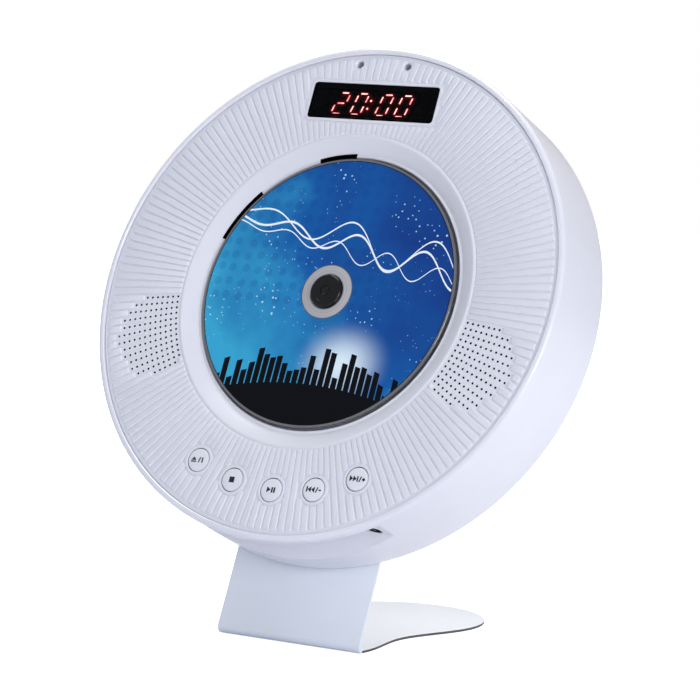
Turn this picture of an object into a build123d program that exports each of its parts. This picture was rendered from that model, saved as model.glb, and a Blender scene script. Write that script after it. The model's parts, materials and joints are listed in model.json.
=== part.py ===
from build123d import *
import os
from math import cos, sin, tan, radians, pi

os.makedirs("parts", exist_ok=True)

# A round compact disc player on a bent sheet stand. All sizes are in millimetres.
# World frame: +Z up, the face looks towards -Y and leans back, X across.
# Drum frame: x across, y up the face, depth negative behind the front of the rim.

# ---- Driving dimensions ----------------------------------------------------------------------
LEAN = 22.5                 # how far the face leans back from upright, degrees

DRUM_R = 110.0              # outer radius of the round body
DRUM_DEPTH = 41.0           # front of the rim to the back
SIDE_WALL = 2.8
BACK_WALL = 2.4
RIM_ROUND = 1.8
BACK_ROUND = 3.0

PANEL_R = 106.9             # ribbed front panel, with a groove round it
PANEL_DEPTH = 1.0           # its face behind the front of the rim
PANEL_T = 1.4
RIB_HEIGHT = 0.6
RIB_COUNT = 180
RIB_INNER_R = 70.2
RIB_OUTER_R = 105.4
RIB_SHARE = 0.65            # part of each pitch that is rib

WELL_R = 60.8               # upright wall of the disc well
WELL_WALL = 2.0
LIP_R = 69.0                # outer edge of the rounded lip
LIP_TOP = 0.6               # depth of the lip's highest line
LIP_DROP = 4.4
WELL_SLOTS = ((-71, 24), (-19.5, 16.5))     # clock angle at the start, and sweep
SLOT_TOP = 2.0
SLOT_BITE = 1.5             # how far the slots reach into the lip
SLOT_FLOOR = 8.2
WELL_FLOOR = 9.0            # depth of the well's floor

DISC_R = 60.0
DISC_T = 1.2
DISC_BORE_R = 7.5
DISC_TOP = 3.2              # depth of the disc's printed face

GRILLE_ANGLE = 109.0        # middle line of each speaker grille, clockwise from the top
GRILLE_PITCH = 2.0          # degrees from line to line
GRILLE_HOLE_R = 0.5
GRILLE_FIRST_R = 71.6
GRILLE_STEP = 2.565
GRILLE_ROWS = [(0, 6), (0, 8), (0, 9), (0, 10), (0, 10), (0, 11), (0, 11),
               (0, 10), (0, 10), (0, 9), (0, 9), (0, 8), (1, 5)]

BUTTON_PITCH_R = 88.3
BUTTON_PITCH_ANGLE = 13.0
BUTTON_R = 5.0
BUTTON_GAP = 0.3
BUTTON_TRAVEL = 0.6
COLLAR_R = 6.6

WINDOW_W = 61.7
WINDOW_H = 16.3
WINDOW_Y = 85.0
WINDOW_CORNER = 1.5
WINDOW_FRAME = 1.3

PEG_HOLE_X = 11.7
PEG_HOLE_Y = 102.4
PEG_HOLE_R = 1.6

SCOOP_HALF_W = 52.5         # hollow under the rim, at the bottom of the drum
SCOOP_FRONT = 3.6
SCOOP_ROOF_Y = -96.6
SCOOP_RAMP = 17.0           # depth at which the roof turns down
SCOOP_BACK = 25.5

POWER_JACK_X = 45.0         # the two jacks in the roof of the hollow
POWER_COLLAR_R = 3.6
AUDIO_JACK_X = 26.0
AUDIO_COLLAR_R = 3.0
JACK_DEPTH = 13.0
JACK_BOARD_DEPTH = 17.6

RISER_DROP = 143.0          # centre of the drum down to the fold of the stand
RISER_TOP_Y = -48.0
STAND_W = 70.0
STAND_T = 1.2
FOLD_R = 1.5                # inside radius of the fold
FOOT_LENGTH = 132.0
FOOT_WAIST = 30.0           # half widths of the foot
FOOT_WIDEST = 38.5

SLED_HOME = 24.0            # lens at the start of the disc's track, above the spindle
SLED_TRAVEL = 33.0
ROD_X = 16.0
ROD_R = 1.5
FIT = 0.05                  # radial clearance of a running fit

GEAR_X, GEAR_Y = 31.0, 34.0
RACK_MODULE = 0.8
RACK_PINION_TEETH = 12
DRIVE_MODULE = 0.5
DRIVE_TEETH = 48
MOTOR_TEETH = 12
MESH_PLAY = 0.2             # extra distance between meshing pitch lines

SPEAKER_R = 18.0
SPEAKER_PITCH_R = 88.2

# ---- Frames worked out from them ---------------------------------------------------------------
FRONT_REACH = ((DRUM_R - RIM_ROUND) * sin(radians(LEAN)) + RIM_ROUND * (1 - cos(radians(LEAN)))
               - RISER_DROP * sin(radians(LEAN)) + DRUM_DEPTH * cos(radians(LEAN)))
FOLD_Y = (FRONT_REACH - FOOT_LENGTH) / 2
DRUM_Y = FOLD_Y + RISER_DROP * sin(radians(LEAN)) - DRUM_DEPTH * cos(radians(LEAN))
DRUM_Z = RISER_DROP * cos(radians(LEAN)) + DRUM_DEPTH * sin(radians(LEAN))

OUTWARD = Vector(0, -cos(radians(LEAN)), sin(radians(LEAN)))
UP_FACE = Vector(0, sin(radians(LEAN)), cos(radians(LEAN)))
CENTRE = Vector(0, DRUM_Y, DRUM_Z)
DRUM = Plane(origin=CENTRE, x_dir=(1, 0, 0), z_dir=OUTWARD)
RADIAL = Plane(origin=CENTRE, x_dir=(1, 0, 0), z_dir=UP_FACE * -1)   # (radius, depth) profiles
ACROSS = Plane(origin=CENTRE, x_dir=UP_FACE, z_dir=(1, 0, 0))        # (up, depth) profiles
AXLE = Axis(CENTRE, OUTWARD)


def at(depth):
    """Plane parallel to the face, this far behind the front of the rim."""
    return DRUM.offset(-depth)


def clock(radius, angle):
    """Point on the face at an angle clockwise from the top."""
    return (radius * sin(radians(angle)), radius * cos(radians(angle)))


def radial_at(x, y):
    """Profile plane for a piece turned about the drum-frame line through x, y."""
    middle = DRUM.from_local_coords(Vector(x, y, 0))
    return Plane(origin=middle, x_dir=(1, 0, 0), z_dir=UP_FACE * -1)


def axle_at(x, y):
    """Axis square to the face through x, y."""
    return Axis(DRUM.from_local_coords(Vector(x, y, 0)), OUTWARD)


def gear_points(middle, teeth, module, turn, backlash=0.12):
    """Outline of a spur gear with straight-sided teeth, one of them at the angle turn."""
    pitch_r = teeth * module / 2
    tip_r = pitch_r + 0.85 * module
    root_r = pitch_r - 1.15 * module
    half_pitch = pi / teeth / 2 - backlash / pitch_r / 2
    corners = ((root_r, -1.5 * half_pitch), (tip_r, -0.5 * half_pitch),
               (tip_r, 0.5 * half_pitch), (root_r, 1.5 * half_pitch))
    outline = []
    for tooth in range(teeth):
        angle = radians(turn) + 2 * pi * tooth / teeth
        for radius, offset in corners:
            outline.append((middle[0] + radius * cos(angle + offset),
                            middle[1] + radius * sin(angle + offset)))
    return outline


# Places shared by several pieces
button_angles = [180 + step * BUTTON_PITCH_ANGLE for step in (2, 1, 0, -1, -2)]
button_spots = [clock(BUTTON_PITCH_R, angle) for angle in button_angles]
button_names = ["button_open", "button_stop", "button_play", "button_previous", "button_next"]
post_spots = [clock(101.0, angle) for angle in (32, 75, 140, 220, 285, 328)]
deck_spots = [clock(70.0, angle) for angle in (45, 135, 225, 315)]
damper_spots = [(-31.5, -16.0), (31.5, -16.0), (-31.5, 52.0), (31.5, 52.0)]
button_board_spots = [clock(83.0, 180 + side * 19.5) for side in (1, -1)]
display_board_spots = [(-34.2, WINDOW_Y), (34.2, WINDOW_Y)]
stand_screw_spots = [(-20.0, -64.0), (20.0, -64.0)]
keyhole_spots = [(-45.0, 44.0), (45.0, 44.0)]

motor_pitch = DRIVE_MODULE * (DRIVE_TEETH + MOTOR_TEETH) / 2 + MESH_PLAY
MOTOR_X, MOTOR_Y = GEAR_X, GEAR_Y - motor_pitch

grille_lines = []
for line, (first, last) in enumerate(GRILLE_ROWS):
    offset = (line - 6) * GRILLE_PITCH
    inner = GRILLE_FIRST_R + first * GRILLE_STEP
    outer = GRILLE_FIRST_R + last * GRILLE_STEP
    for angle in (GRILLE_ANGLE + offset, 360 - GRILLE_ANGLE - offset):
        grille_lines.append((angle, first, last, inner, outer))
grille_spots = [clock(GRILLE_FIRST_R + hole * GRILLE_STEP, angle)
                for angle, first, last, inner, outer in grille_lines
                for hole in range(first, last + 1)]

# ---- Rear housing: round shell with a rolled rim, a scoop and two keyholes ---------------------
PANEL_BACK = PANEL_DEPTH + PANEL_T
BOSS_FRONT = 20.0           # where the front posts meet the rear bosses
BOSS_FLOOR = 3.0
inside_r = DRUM_R - SIDE_WALL
inside_back = DRUM_DEPTH - BACK_WALL

# walls that carry the scoop into the shell
with BuildPart() as scoop_walls:
    with BuildSketch(ACROSS):
        with BuildLine():
            Polyline((-112, -PANEL_BACK), (SCOOP_ROOF_Y + 2, -PANEL_BACK),
                     (SCOOP_ROOF_Y + 2, -SCOOP_RAMP - 1.5), (-107.5, -SCOOP_BACK - 2.2),
                     (-112, -SCOOP_BACK - 2.2), close=True)
        make_face()
    extrude(amount=SCOOP_HALF_W + 2, both=True)
    with BuildSketch(at(0)):
        Circle(DRUM_R - 1)
    extrude(amount=-DRUM_DEPTH, mode=Mode.INTERSECT)

with BuildPart() as rear_housing:
    with BuildSketch(RADIAL):
        with BuildLine():
            Polyline((0, -inside_back), (0, -DRUM_DEPTH), (DRUM_R - BACK_ROUND, -DRUM_DEPTH))
            RadiusArc((DRUM_R - BACK_ROUND, -DRUM_DEPTH), (DRUM_R, -DRUM_DEPTH + BACK_ROUND), -BACK_ROUND)
            Line((DRUM_R, -DRUM_DEPTH + BACK_ROUND), (DRUM_R, -RIM_ROUND))
            RadiusArc((DRUM_R, -RIM_ROUND), (DRUM_R - RIM_ROUND, 0), -RIM_ROUND)
            Polyline((DRUM_R - RIM_ROUND, 0), (inside_r + 0.4, 0), (inside_r, -0.4),
                     (inside_r, -inside_back + 1.5), (inside_r - 1.5, -inside_back), (0, -inside_back))
        make_face()
    revolve(axis=AXLE)
    add(scoop_walls.part)
    with BuildSketch(ACROSS):
        with BuildLine():
            Polyline((-118, -SCOOP_FRONT), (SCOOP_ROOF_Y, -SCOOP_FRONT),
                     (SCOOP_ROOF_Y, -SCOOP_RAMP), (-DRUM_R, -SCOOP_BACK),
                     (-118, -SCOOP_BACK), close=True)
        make_face()
    extrude(amount=SCOOP_HALF_W, both=True, mode=Mode.SUBTRACT)
    # holes in the roof for the collars of the two jacks
    with BuildSketch(Plane(origin=DRUM.from_local_coords(Vector(0, SCOOP_ROOF_Y - 1, -JACK_DEPTH)),
                           x_dir=(1, 0, 0), z_dir=UP_FACE)):
        with Locations((POWER_JACK_X, 0)):
            Circle(POWER_COLLAR_R + FIT)
        with Locations((AUDIO_JACK_X, 0)):
            Circle(AUDIO_COLLAR_R + FIT)
    extrude(amount=4, mode=Mode.SUBTRACT)
    # screw bosses that meet the front panel's posts
    with BuildSketch(at(BOSS_FRONT)):
        with Locations(*post_spots):
            Circle(4.5)
    extrude(amount=-(inside_back - BOSS_FRONT))
    with BuildSketch(at(DRUM_DEPTH)):
        with Locations(*post_spots):
            Circle(3.4)
    extrude(amount=DRUM_DEPTH - BOSS_FRONT - BOSS_FLOOR, mode=Mode.SUBTRACT)
    with BuildSketch(at(BOSS_FRONT)):
        with Locations(*post_spots):
            Circle(1.7)
    extrude(amount=-BOSS_FLOOR, mode=Mode.SUBTRACT)
    # bosses for the stand
    with BuildSketch(at(30)):
        with Locations(*stand_screw_spots):
            Circle(5)
    extrude(amount=-(inside_back - 30))
    with BuildSketch(at(DRUM_DEPTH)):
        with Locations(*stand_screw_spots):
            Circle(2)
    extrude(amount=9, mode=Mode.SUBTRACT)
    # keyholes for the wall, each over a closed pocket
    with BuildSketch(at(DRUM_DEPTH - 8)):
        with Locations(*keyhole_spots):
            RectangleRounded(16, 24, 4)
    extrude(amount=-(8 - BACK_WALL))
    with BuildSketch(at(inside_back)):
        with Locations(*keyhole_spots):
            RectangleRounded(12, 20, 3)
    extrude(amount=4.4, mode=Mode.SUBTRACT)
    with BuildSketch(at(DRUM_DEPTH)):
        with Locations(*[(x, y - 4) for x, y in keyhole_spots]):
            Circle(4.25)
        with Locations(*[(x, y + 1) for x, y in keyhole_spots]):
            SlotCenterToCenter(8, 4.4, rotation=90)
    extrude(amount=BACK_WALL, mode=Mode.SUBTRACT)
    # slots that let the speakers breathe
    with BuildSketch(at(DRUM_DEPTH)):
        for side in (-1, 1):
            with Locations(*[(side * 76, -34 + row * 6) for row in range(5)]):
                Rectangle(24, 2)
    extrude(amount=BACK_WALL, mode=Mode.SUBTRACT)
    # pads for the main board
    with BuildSketch(at(29.6)):
        with Locations(*[(x, y) for x in (-52, 52) for y in (-34, -58)]):
            Circle(3)
    extrude(amount=-(inside_back - 29.6))
rear_housing.part.label = "rear_housing"

# ---- Front panel: ribbed bezel, disc well, grilles, button and display openings ---------------
well_outer_r = WELL_R + WELL_WALL
rib_pitch = 360 / RIB_COUNT
rib_half = rib_pitch * RIB_SHARE / 2


def rib_spans(angle):
    """Stretches of the rib at this clock angle, cut short of what is set into the face."""
    gaps = [(inner - 1.4, outer + 1.4) for line_angle, first, last, inner, outer in grille_lines
            if abs(line_angle - angle) < 0.5]
    rounds = [(spot, COLLAR_R + 0.4) for spot in button_spots]
    rounds += [((side * PEG_HOLE_X, PEG_HOLE_Y), PEG_HOLE_R + 1.4) for side in (-1, 1)]
    for (x, y), reach in rounds:
        along = x * sin(radians(angle)) + y * cos(radians(angle))
        aside = abs(x * cos(radians(angle)) - y * sin(radians(angle)))
        if along > 0 and aside < reach:
            half_chord = (reach ** 2 - aside ** 2) ** 0.5
            gaps.append((along - half_chord, along + half_chord))
    frame_w = WINDOW_W / 2 + WINDOW_FRAME + 0.6
    frame_h = WINDOW_H / 2 + WINDOW_FRAME + 0.6
    if cos(radians(angle)) > 0.5:
        low = (WINDOW_Y - frame_h) / cos(radians(angle))
        high = (WINDOW_Y + frame_h) / cos(radians(angle))
        if sin(radians(angle)) != 0:
            high = min(high, frame_w / abs(sin(radians(angle))))
        if high > low:
            gaps.append((low, high))
    spans = []
    start = RIB_INNER_R
    for low, high in sorted(gaps):
        if low - start > 1.5:
            spans.append((start, low))
        start = max(start, high)
    if RIB_OUTER_R - start > 1.5:
        spans.append((start, RIB_OUTER_R))
    return spans


rib_faces = []
for rib in range(RIB_COUNT):
    angle = (rib + 0.5) * rib_pitch
    for low, high in rib_spans(angle):
        rib_faces.append(Polygon(clock(low, angle - rib_half), clock(low, angle + rib_half),
                                 clock(high, angle + rib_half), clock(high, angle - rib_half),
                                 align=None, mode=Mode.PRIVATE))

with BuildPart() as front_panel:
    # flat ring with the openings for buttons, display and pegs
    with BuildSketch(at(PANEL_BACK)):
        Circle(PANEL_R)
        Circle(LIP_R, mode=Mode.SUBTRACT)
        with Locations(*button_spots):
            Circle(BUTTON_R + BUTTON_GAP, mode=Mode.SUBTRACT)
        with Locations((0, WINDOW_Y)):
            Rectangle(WINDOW_W - 4, WINDOW_H - 3, mode=Mode.SUBTRACT)
        with Locations((-PEG_HOLE_X, PEG_HOLE_Y), (PEG_HOLE_X, PEG_HOLE_Y)):
            Circle(PEG_HOLE_R, mode=Mode.SUBTRACT)
    extrude(amount=PANEL_T)
    # rounded lip and upright wall of the well
    with BuildSketch(RADIAL):
        with BuildLine():
            Line((WELL_R, -WELL_FLOOR), (WELL_R, -LIP_TOP - LIP_DROP))
            EllipticalCenterArc((LIP_R, -LIP_TOP - LIP_DROP), LIP_R - WELL_R, LIP_DROP, 90,
                                arc_size=90)
            Polyline((LIP_R, -LIP_TOP), (LIP_R + 0.7, -LIP_TOP), (LIP_R + 0.9, -PANEL_DEPTH - 0.2),
                     (LIP_R + 0.9, -PANEL_BACK), (well_outer_r, -LIP_TOP - LIP_DROP - 1.6),
                     (well_outer_r, -WELL_FLOOR), (WELL_R, -WELL_FLOOR))
        make_face()
    revolve(axis=AXLE)
    # posts behind the panel, with pilot holes for their screws
    for spots, radius, length in ((post_spots, 3.5, BOSS_FRONT), (deck_spots, 3.0, WELL_FLOOR),
                                  (button_board_spots, 2.4, 6.4), (display_board_spots, 2.2, 9.0)):
        with BuildSketch(at(PANEL_BACK)):
            with Locations(*spots):
                Circle(radius)
        extrude(amount=-(length - PANEL_BACK))
    with BuildSketch(at(BOSS_FRONT)):
        with Locations(*post_spots):
            Circle(1.5)
    extrude(amount=14, mode=Mode.SUBTRACT)
    with BuildSketch(at(WELL_FLOOR)):
        with Locations(*deck_spots):
            Circle(1.25)
    extrude(amount=5, mode=Mode.SUBTRACT)
    # two arc slots through the wall of the well, at the upper left, that also bite into the lip
    for start, sweep in WELL_SLOTS:
        for top, reach in ((SLOT_TOP, WELL_R + SLOT_BITE),
                           (LIP_TOP + LIP_DROP + 0.2, well_outer_r + 1)):
            with BuildSketch(at(top)):
                with BuildLine():
                    CenterArc((0, 0), WELL_R - 1, 90 - start, -sweep)
                    CenterArc((0, 0), reach, 90 - start, -sweep)
                    Line(clock(WELL_R - 1, start), clock(reach, start))
                    Line(clock(WELL_R - 1, start + sweep), clock(reach, start + sweep))
                make_face()
            extrude(amount=-(SLOT_FLOOR - top), mode=Mode.SUBTRACT)
    # ribs, collars round the buttons and the raised frame of the display
    with BuildSketch(at(PANEL_DEPTH)):
        add(rib_faces)
        with Locations(*button_spots):
            Circle(COLLAR_R)
            Circle(BUTTON_R + BUTTON_GAP, mode=Mode.SUBTRACT)
        with Locations((0, WINDOW_Y)):
            RectangleRounded(WINDOW_W + 2 * WINDOW_FRAME, WINDOW_H + 2 * WINDOW_FRAME,
                             WINDOW_CORNER + WINDOW_FRAME)
            RectangleRounded(WINDOW_W + 0.2, WINDOW_H + 0.2, WINDOW_CORNER, mode=Mode.SUBTRACT)
    extrude(amount=RIB_HEIGHT)
    with BuildSketch(at(PANEL_DEPTH)):
        with Locations((0, WINDOW_Y)):
            RectangleRounded(WINDOW_W + 0.2, WINDOW_H + 0.2, WINDOW_CORNER)
    extrude(amount=-1.0, mode=Mode.SUBTRACT)
    # holes of the two speaker grilles
    with BuildSketch(at(PANEL_BACK)):
        with Locations(*grille_spots):
            RegularPolygon(GRILLE_HOLE_R * 1.15, 4)
    extrude(amount=PANEL_T, mode=Mode.SUBTRACT)
front_panel.part.label = "front_panel"

# ---- Display window, display module and its board ----------------------------------------------
with BuildPart() as display_window:
    with BuildSketch(at(2.0)):
        with Locations((0, WINDOW_Y)):
            RectangleRounded(WINDOW_W, WINDOW_H, WINDOW_CORNER - 0.1)
    extrude(amount=1.4)
display_window.part.label = "display_window"

DISPLAY_BOARD_DEPTH = 9.0
with BuildPart() as led_display:
    with BuildSketch(at(DISPLAY_BOARD_DEPTH)):
        with Locations((0, WINDOW_Y)):
            Rectangle(50.2, 12.6)
    extrude(amount=DISPLAY_BOARD_DEPTH - 2.2)
    with BuildSketch(at(2.2)):
        with Locations((0, WINDOW_Y)):
            Rectangle(46, 10.6)
    extrude(amount=-0.6, mode=Mode.SUBTRACT)
led_display.part.label = "led_display"

with BuildPart() as ir_receiver:
    with BuildSketch(at(DISPLAY_BOARD_DEPTH)):
        with Locations((28.2, WINDOW_Y)):
            Rectangle(4.6, 6)
    extrude(amount=4.4)
    with BuildSketch(at(DISPLAY_BOARD_DEPTH - 4.4)):
        with Locations((28.2, WINDOW_Y + 0.4)):
            Circle(1.8)
    extrude(amount=1.4)
ir_receiver.part.label = "ir_receiver"

with BuildPart() as display_board:
    with BuildSketch(at(DISPLAY_BOARD_DEPTH)):
        with Locations((0, WINDOW_Y)):
            Rectangle(76, 18)
        with Locations(*display_board_spots):
            Circle(1.0, mode=Mode.SUBTRACT)
    extrude(amount=-1.6)
display_board.part.label = "display_board"

# ---- Buttons, their board and switches ---------------------------------------------------------
BUTTON_TOP = 0.3
SWITCH_TOP = 5.0
BUTTON_BOARD_DEPTH = 6.4
buttons = []
for spot, label in zip(button_spots, button_names):
    with BuildPart() as button:
        with BuildSketch(radial_at(*spot)):
            with BuildLine():
                Polyline((0, -BUTTON_TOP), (BUTTON_R - 0.7, -BUTTON_TOP))
                RadiusArc((BUTTON_R - 0.7, -BUTTON_TOP), (BUTTON_R, -BUTTON_TOP - 0.7), 0.7)
                Polyline((BUTTON_R, -BUTTON_TOP - 0.7), (BUTTON_R, -PANEL_BACK - 0.02),
                         (BUTTON_R + 0.7, -PANEL_BACK - 0.02), (BUTTON_R + 0.7, -PANEL_BACK - 0.9),
                         (1.8, -PANEL_BACK - 0.9), (1.8, -SWITCH_TOP + BUTTON_TRAVEL + 0.1),
                         (0, -SWITCH_TOP + BUTTON_TRAVEL + 0.1), (0, -BUTTON_TOP))
            make_face()
        revolve(axis=axle_at(*spot))
    button.part.label = label
    buttons.append(button)

with BuildPart() as button_board:
    with BuildSketch(at(BUTTON_BOARD_DEPTH)):
        with BuildLine():
            CenterArc((0, 0), 79.5, -123, 66)
            CenterArc((0, 0), 91.4, -123, 66)
            Line(clock(79.5, 213), clock(91.4, 213))
            Line(clock(79.5, 147), clock(91.4, 147))
        make_face()
        with Locations(*button_board_spots):
            Circle(1.0, mode=Mode.SUBTRACT)
    extrude(amount=-1.6)
button_board.part.label = "button_board"

with BuildPart() as tact_switches:
    with BuildSketch(at(BUTTON_BOARD_DEPTH)):
        for (x, y), angle in zip([clock(87.0, angle) for angle in button_angles], button_angles):
            with Locations(Location((x, y, 0), (0, 0, -angle))):
                Rectangle(6, 6)
    extrude(amount=0.9)
    with BuildSketch(at(BUTTON_BOARD_DEPTH - 0.9)):
        with Locations(*button_spots):
            Circle(1.2)
    extrude(amount=0.5)
tact_switches.part.label = "tact_switches"

# ---- Deck plate: floor of the well, open over the pickup --------------------------------------
with BuildPart() as deck_plate:
    with BuildSketch(at(WELL_FLOOR)):
        Circle(64.6)
        with PolarLocations(65.5, 4, start_angle=45):
            Rectangle(9, 7.2)
        with Locations(*deck_spots):
            Circle(3.6)
        with Locations((0, 38.5)):
            Rectangle(19, 49, mode=Mode.SUBTRACT)
        Circle(17, mode=Mode.SUBTRACT)
        with Locations(*deck_spots):
            Circle(1.5, mode=Mode.SUBTRACT)
    extrude(amount=-2)
    with BuildSketch(at(WELL_FLOOR + 2)):
        with Locations(*damper_spots):
            Circle(3.2)
    extrude(amount=-7.5)
    with BuildSketch(at(WELL_FLOOR + 9.5)):
        with Locations(*damper_spots):
            Circle(2.0)
    extrude(amount=-4.5)
    with BuildSketch(at(WELL_FLOOR + 14)):
        with Locations(*damper_spots):
            Circle(1.0)
    extrude(amount=8, mode=Mode.SUBTRACT)
deck_plate.part.label = "deck_plate"

# ---- Disc drive ---------------------------------------------------------------------------------
CHASSIS_FRONT = 21.0
CHASSIS_T = 2.0
ROD_DEPTH = 17.0
rod_ends = (3.0, 80.0)

with BuildPart() as traverse_chassis:
    with BuildSketch(at(CHASSIS_FRONT)):
        with Locations((4, 30)):
            RectangleRounded(82, 108, 5)
        with Locations((0, 44)):
            Rectangle(24, 58, mode=Mode.SUBTRACT)
        Circle(5.2, mode=Mode.SUBTRACT)
        with Locations(*damper_spots):
            Circle(3.4, mode=Mode.SUBTRACT)
        with Locations((MOTOR_X, MOTOR_Y)):
            Circle(1.8, mode=Mode.SUBTRACT)
    extrude(amount=-CHASSIS_T)
    # saddles that hold the rods' ends
    with BuildSketch(at(CHASSIS_FRONT)):
        with Locations(*[(x, y) for x in (-ROD_X, ROD_X) for y in rod_ends]):
            Rectangle(8, 5)
    extrude(amount=CHASSIS_FRONT - 14.5)
    for x in (-ROD_X, ROD_X):
        bore = Plane(origin=DRUM.from_local_coords(Vector(x, rod_ends[0] - 3, -ROD_DEPTH)),
                     x_dir=(1, 0, 0), z_dir=UP_FACE)
        with BuildSketch(bore):
            Circle(ROD_R)
        extrude(amount=rod_ends[1] - rod_ends[0] + 6, mode=Mode.SUBTRACT)
    # pins for the drive gear
    with BuildSketch(at(CHASSIS_FRONT)):
        with Locations((GEAR_X, GEAR_Y)):
            Circle(2.6)
    extrude(amount=0.8)
    with BuildSketch(at(CHASSIS_FRONT - 0.8)):
        with Locations((GEAR_X, GEAR_Y)):
            Circle(1.5)
    extrude(amount=6.6)
traverse_chassis.part.label = "traverse_chassis"

with BuildPart() as guide_rods:
    for x in (-ROD_X, ROD_X):
        end = Plane(origin=DRUM.from_local_coords(Vector(x, rod_ends[0] - 2.5, -ROD_DEPTH)),
                    x_dir=(1, 0, 0), z_dir=UP_FACE)
        with BuildSketch(end):
            Circle(ROD_R)
        extrude(amount=rod_ends[1] - rod_ends[0] + 5)
guide_rods.part.label = "guide_rods"

# The sled rides one rod in a bore and the other in an open fork, and carries the rack.
rack_pitch_x = GEAR_X - RACK_MODULE * RACK_PINION_TEETH / 2 - MESH_PLAY
rack_pitch = pi * RACK_MODULE
RACK_TEETH = 17
rack_low = GEAR_Y - rack_pitch * 15.5
with BuildPart() as pickup_sled:
    with BuildSketch(at(13.6)):
        with Locations((-1.2, SLED_HOME)):
            RectangleRounded(38.6, 28, 3)
    extrude(amount=-6.2)
    with BuildSketch(at(13.6)):
        with Locations((0, SLED_HOME)):
            Rectangle(16, 14)
    extrude(amount=2.4)
    with BuildSketch(at(11.2)):
        with Locations((0, SLED_HOME)):
            Circle(3.5)
            Circle(2.6, mode=Mode.SUBTRACT)
    extrude(amount=3.4)
    with BuildSketch(at(11.2)):
        with Locations((0, SLED_HOME)):
            Circle(2.6)
    extrude(amount=2.2)
    bore = Plane(origin=DRUM.from_local_coords(Vector(-ROD_X, SLED_HOME - 20, -ROD_DEPTH)),
                 x_dir=(1, 0, 0), z_dir=UP_FACE)
    with BuildSketch(bore):
        Circle(ROD_R + FIT)
    extrude(amount=40, mode=Mode.SUBTRACT)
    with BuildSketch(at(ROD_DEPTH - ROD_R - FIT)):
        with Locations((ROD_X, SLED_HOME)):
            Rectangle(2 * (ROD_R + FIT), 30)
    extrude(amount=-8, mode=Mode.SUBTRACT)
    # rack: a strip with straight-sided teeth, joined to the body beside the fork
    with BuildSketch(at(14.6)):
        with Locations((19.5, SLED_HOME)):
            Rectangle(4, 22)
        with BuildLine():
            teeth = [(20.5, rack_low - rack_pitch / 2)]
            for tooth in range(RACK_TEETH):
                low = rack_low + tooth * rack_pitch
                root_x = rack_pitch_x - 1.15 * RACK_MODULE
                tip_x = rack_pitch_x + 0.85 * RACK_MODULE
                teeth.append((root_x, low - rack_pitch * 0.36))
                teeth.append((tip_x, low - rack_pitch * 0.11))
                teeth.append((tip_x, low + rack_pitch * 0.11))
                teeth.append((root_x, low + rack_pitch * 0.36))
            teeth.append((20.5, rack_low + (RACK_TEETH - 0.5) * rack_pitch))
            Polyline(*teeth, close=True)
        make_face()
    extrude(amount=-2.2)
pickup_sled.part.label = "pickup_sled"

with BuildPart() as objective_lens:
    with BuildSketch(radial_at(0, SLED_HOME)):
        with BuildLine():
            Line((0, -9.0), (0, -7.4))
            ThreePointArc((0, -7.4), (1.3, -7.6), (2.5, -8.2))
            Polyline((2.5, -8.2), (2.5, -9.0), (0, -9.0))
        make_face()
    revolve(axis=axle_at(0, SLED_HOME))
objective_lens.part.label = "objective_lens"

with BuildPart() as drive_gear:
    with BuildSketch(at(20.0)):
        with BuildLine():
            Polyline(*gear_points((GEAR_X, GEAR_Y), DRIVE_TEETH, DRIVE_MODULE, -90, 0.1), close=True)
        make_face()
    extrude(amount=1.8)
    with BuildSketch(at(18.2)):
        with BuildLine():
            Polyline(*gear_points((GEAR_X, GEAR_Y), RACK_PINION_TEETH, RACK_MODULE, 180), close=True)
        make_face()
    extrude(amount=3.8)
    with BuildSketch(at(20.0)):
        with Locations((GEAR_X, GEAR_Y)):
            Circle(1.5 + FIT)
    extrude(amount=6, mode=Mode.SUBTRACT)
drive_gear.part.label = "drive_gear"

with BuildPart() as motor_pinion:
    with BuildSketch(at(20.0)):
        with BuildLine():
            Polyline(*gear_points((MOTOR_X, MOTOR_Y), MOTOR_TEETH, DRIVE_MODULE,
                                  90 + 180 / MOTOR_TEETH, 0.1), close=True)
        make_face()
    extrude(amount=1.8)
    with BuildSketch(at(20.0)):
        with Locations((MOTOR_X, MOTOR_Y)):
            Circle(0.75)
    extrude(amount=-8)
motor_pinion.part.label = "motor_pinion"

with BuildPart() as sled_motor:
    with BuildSketch(at(CHASSIS_FRONT + CHASSIS_T)):
        with Locations((MOTOR_X, MOTOR_Y)):
            Circle(8)
    extrude(amount=-9)
    with BuildSketch(at(CHASSIS_FRONT + CHASSIS_T)):
        with Locations((MOTOR_X, MOTOR_Y)):
            Circle(0.75 + FIT)
    extrude(amount=-6, mode=Mode.SUBTRACT)
sled_motor.part.label = "sled_motor"

SHAFT_R = 1.0
SPINDLE_MOTOR_T = 9.5
with BuildPart() as spindle_motor:
    with BuildSketch(at(CHASSIS_FRONT + CHASSIS_T)):
        Circle(12)
    extrude(amount=-SPINDLE_MOTOR_T)
    with BuildSketch(at(CHASSIS_FRONT + CHASSIS_T)):
        Circle(5.0)
    extrude(amount=2.2)
    with BuildSketch(at(CHASSIS_FRONT + CHASSIS_T - 2.2)):
        Circle(SHAFT_R + FIT)
    extrude(amount=-9.2, mode=Mode.SUBTRACT)
spindle_motor.part.label = "spindle_motor"

disc_under = DISC_TOP + DISC_T
with BuildPart() as spindle_shaft:
    with BuildSketch(at(4.6)):
        Circle(SHAFT_R)
    extrude(amount=-24.6)
spindle_shaft.part.label = "spindle_shaft"

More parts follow.
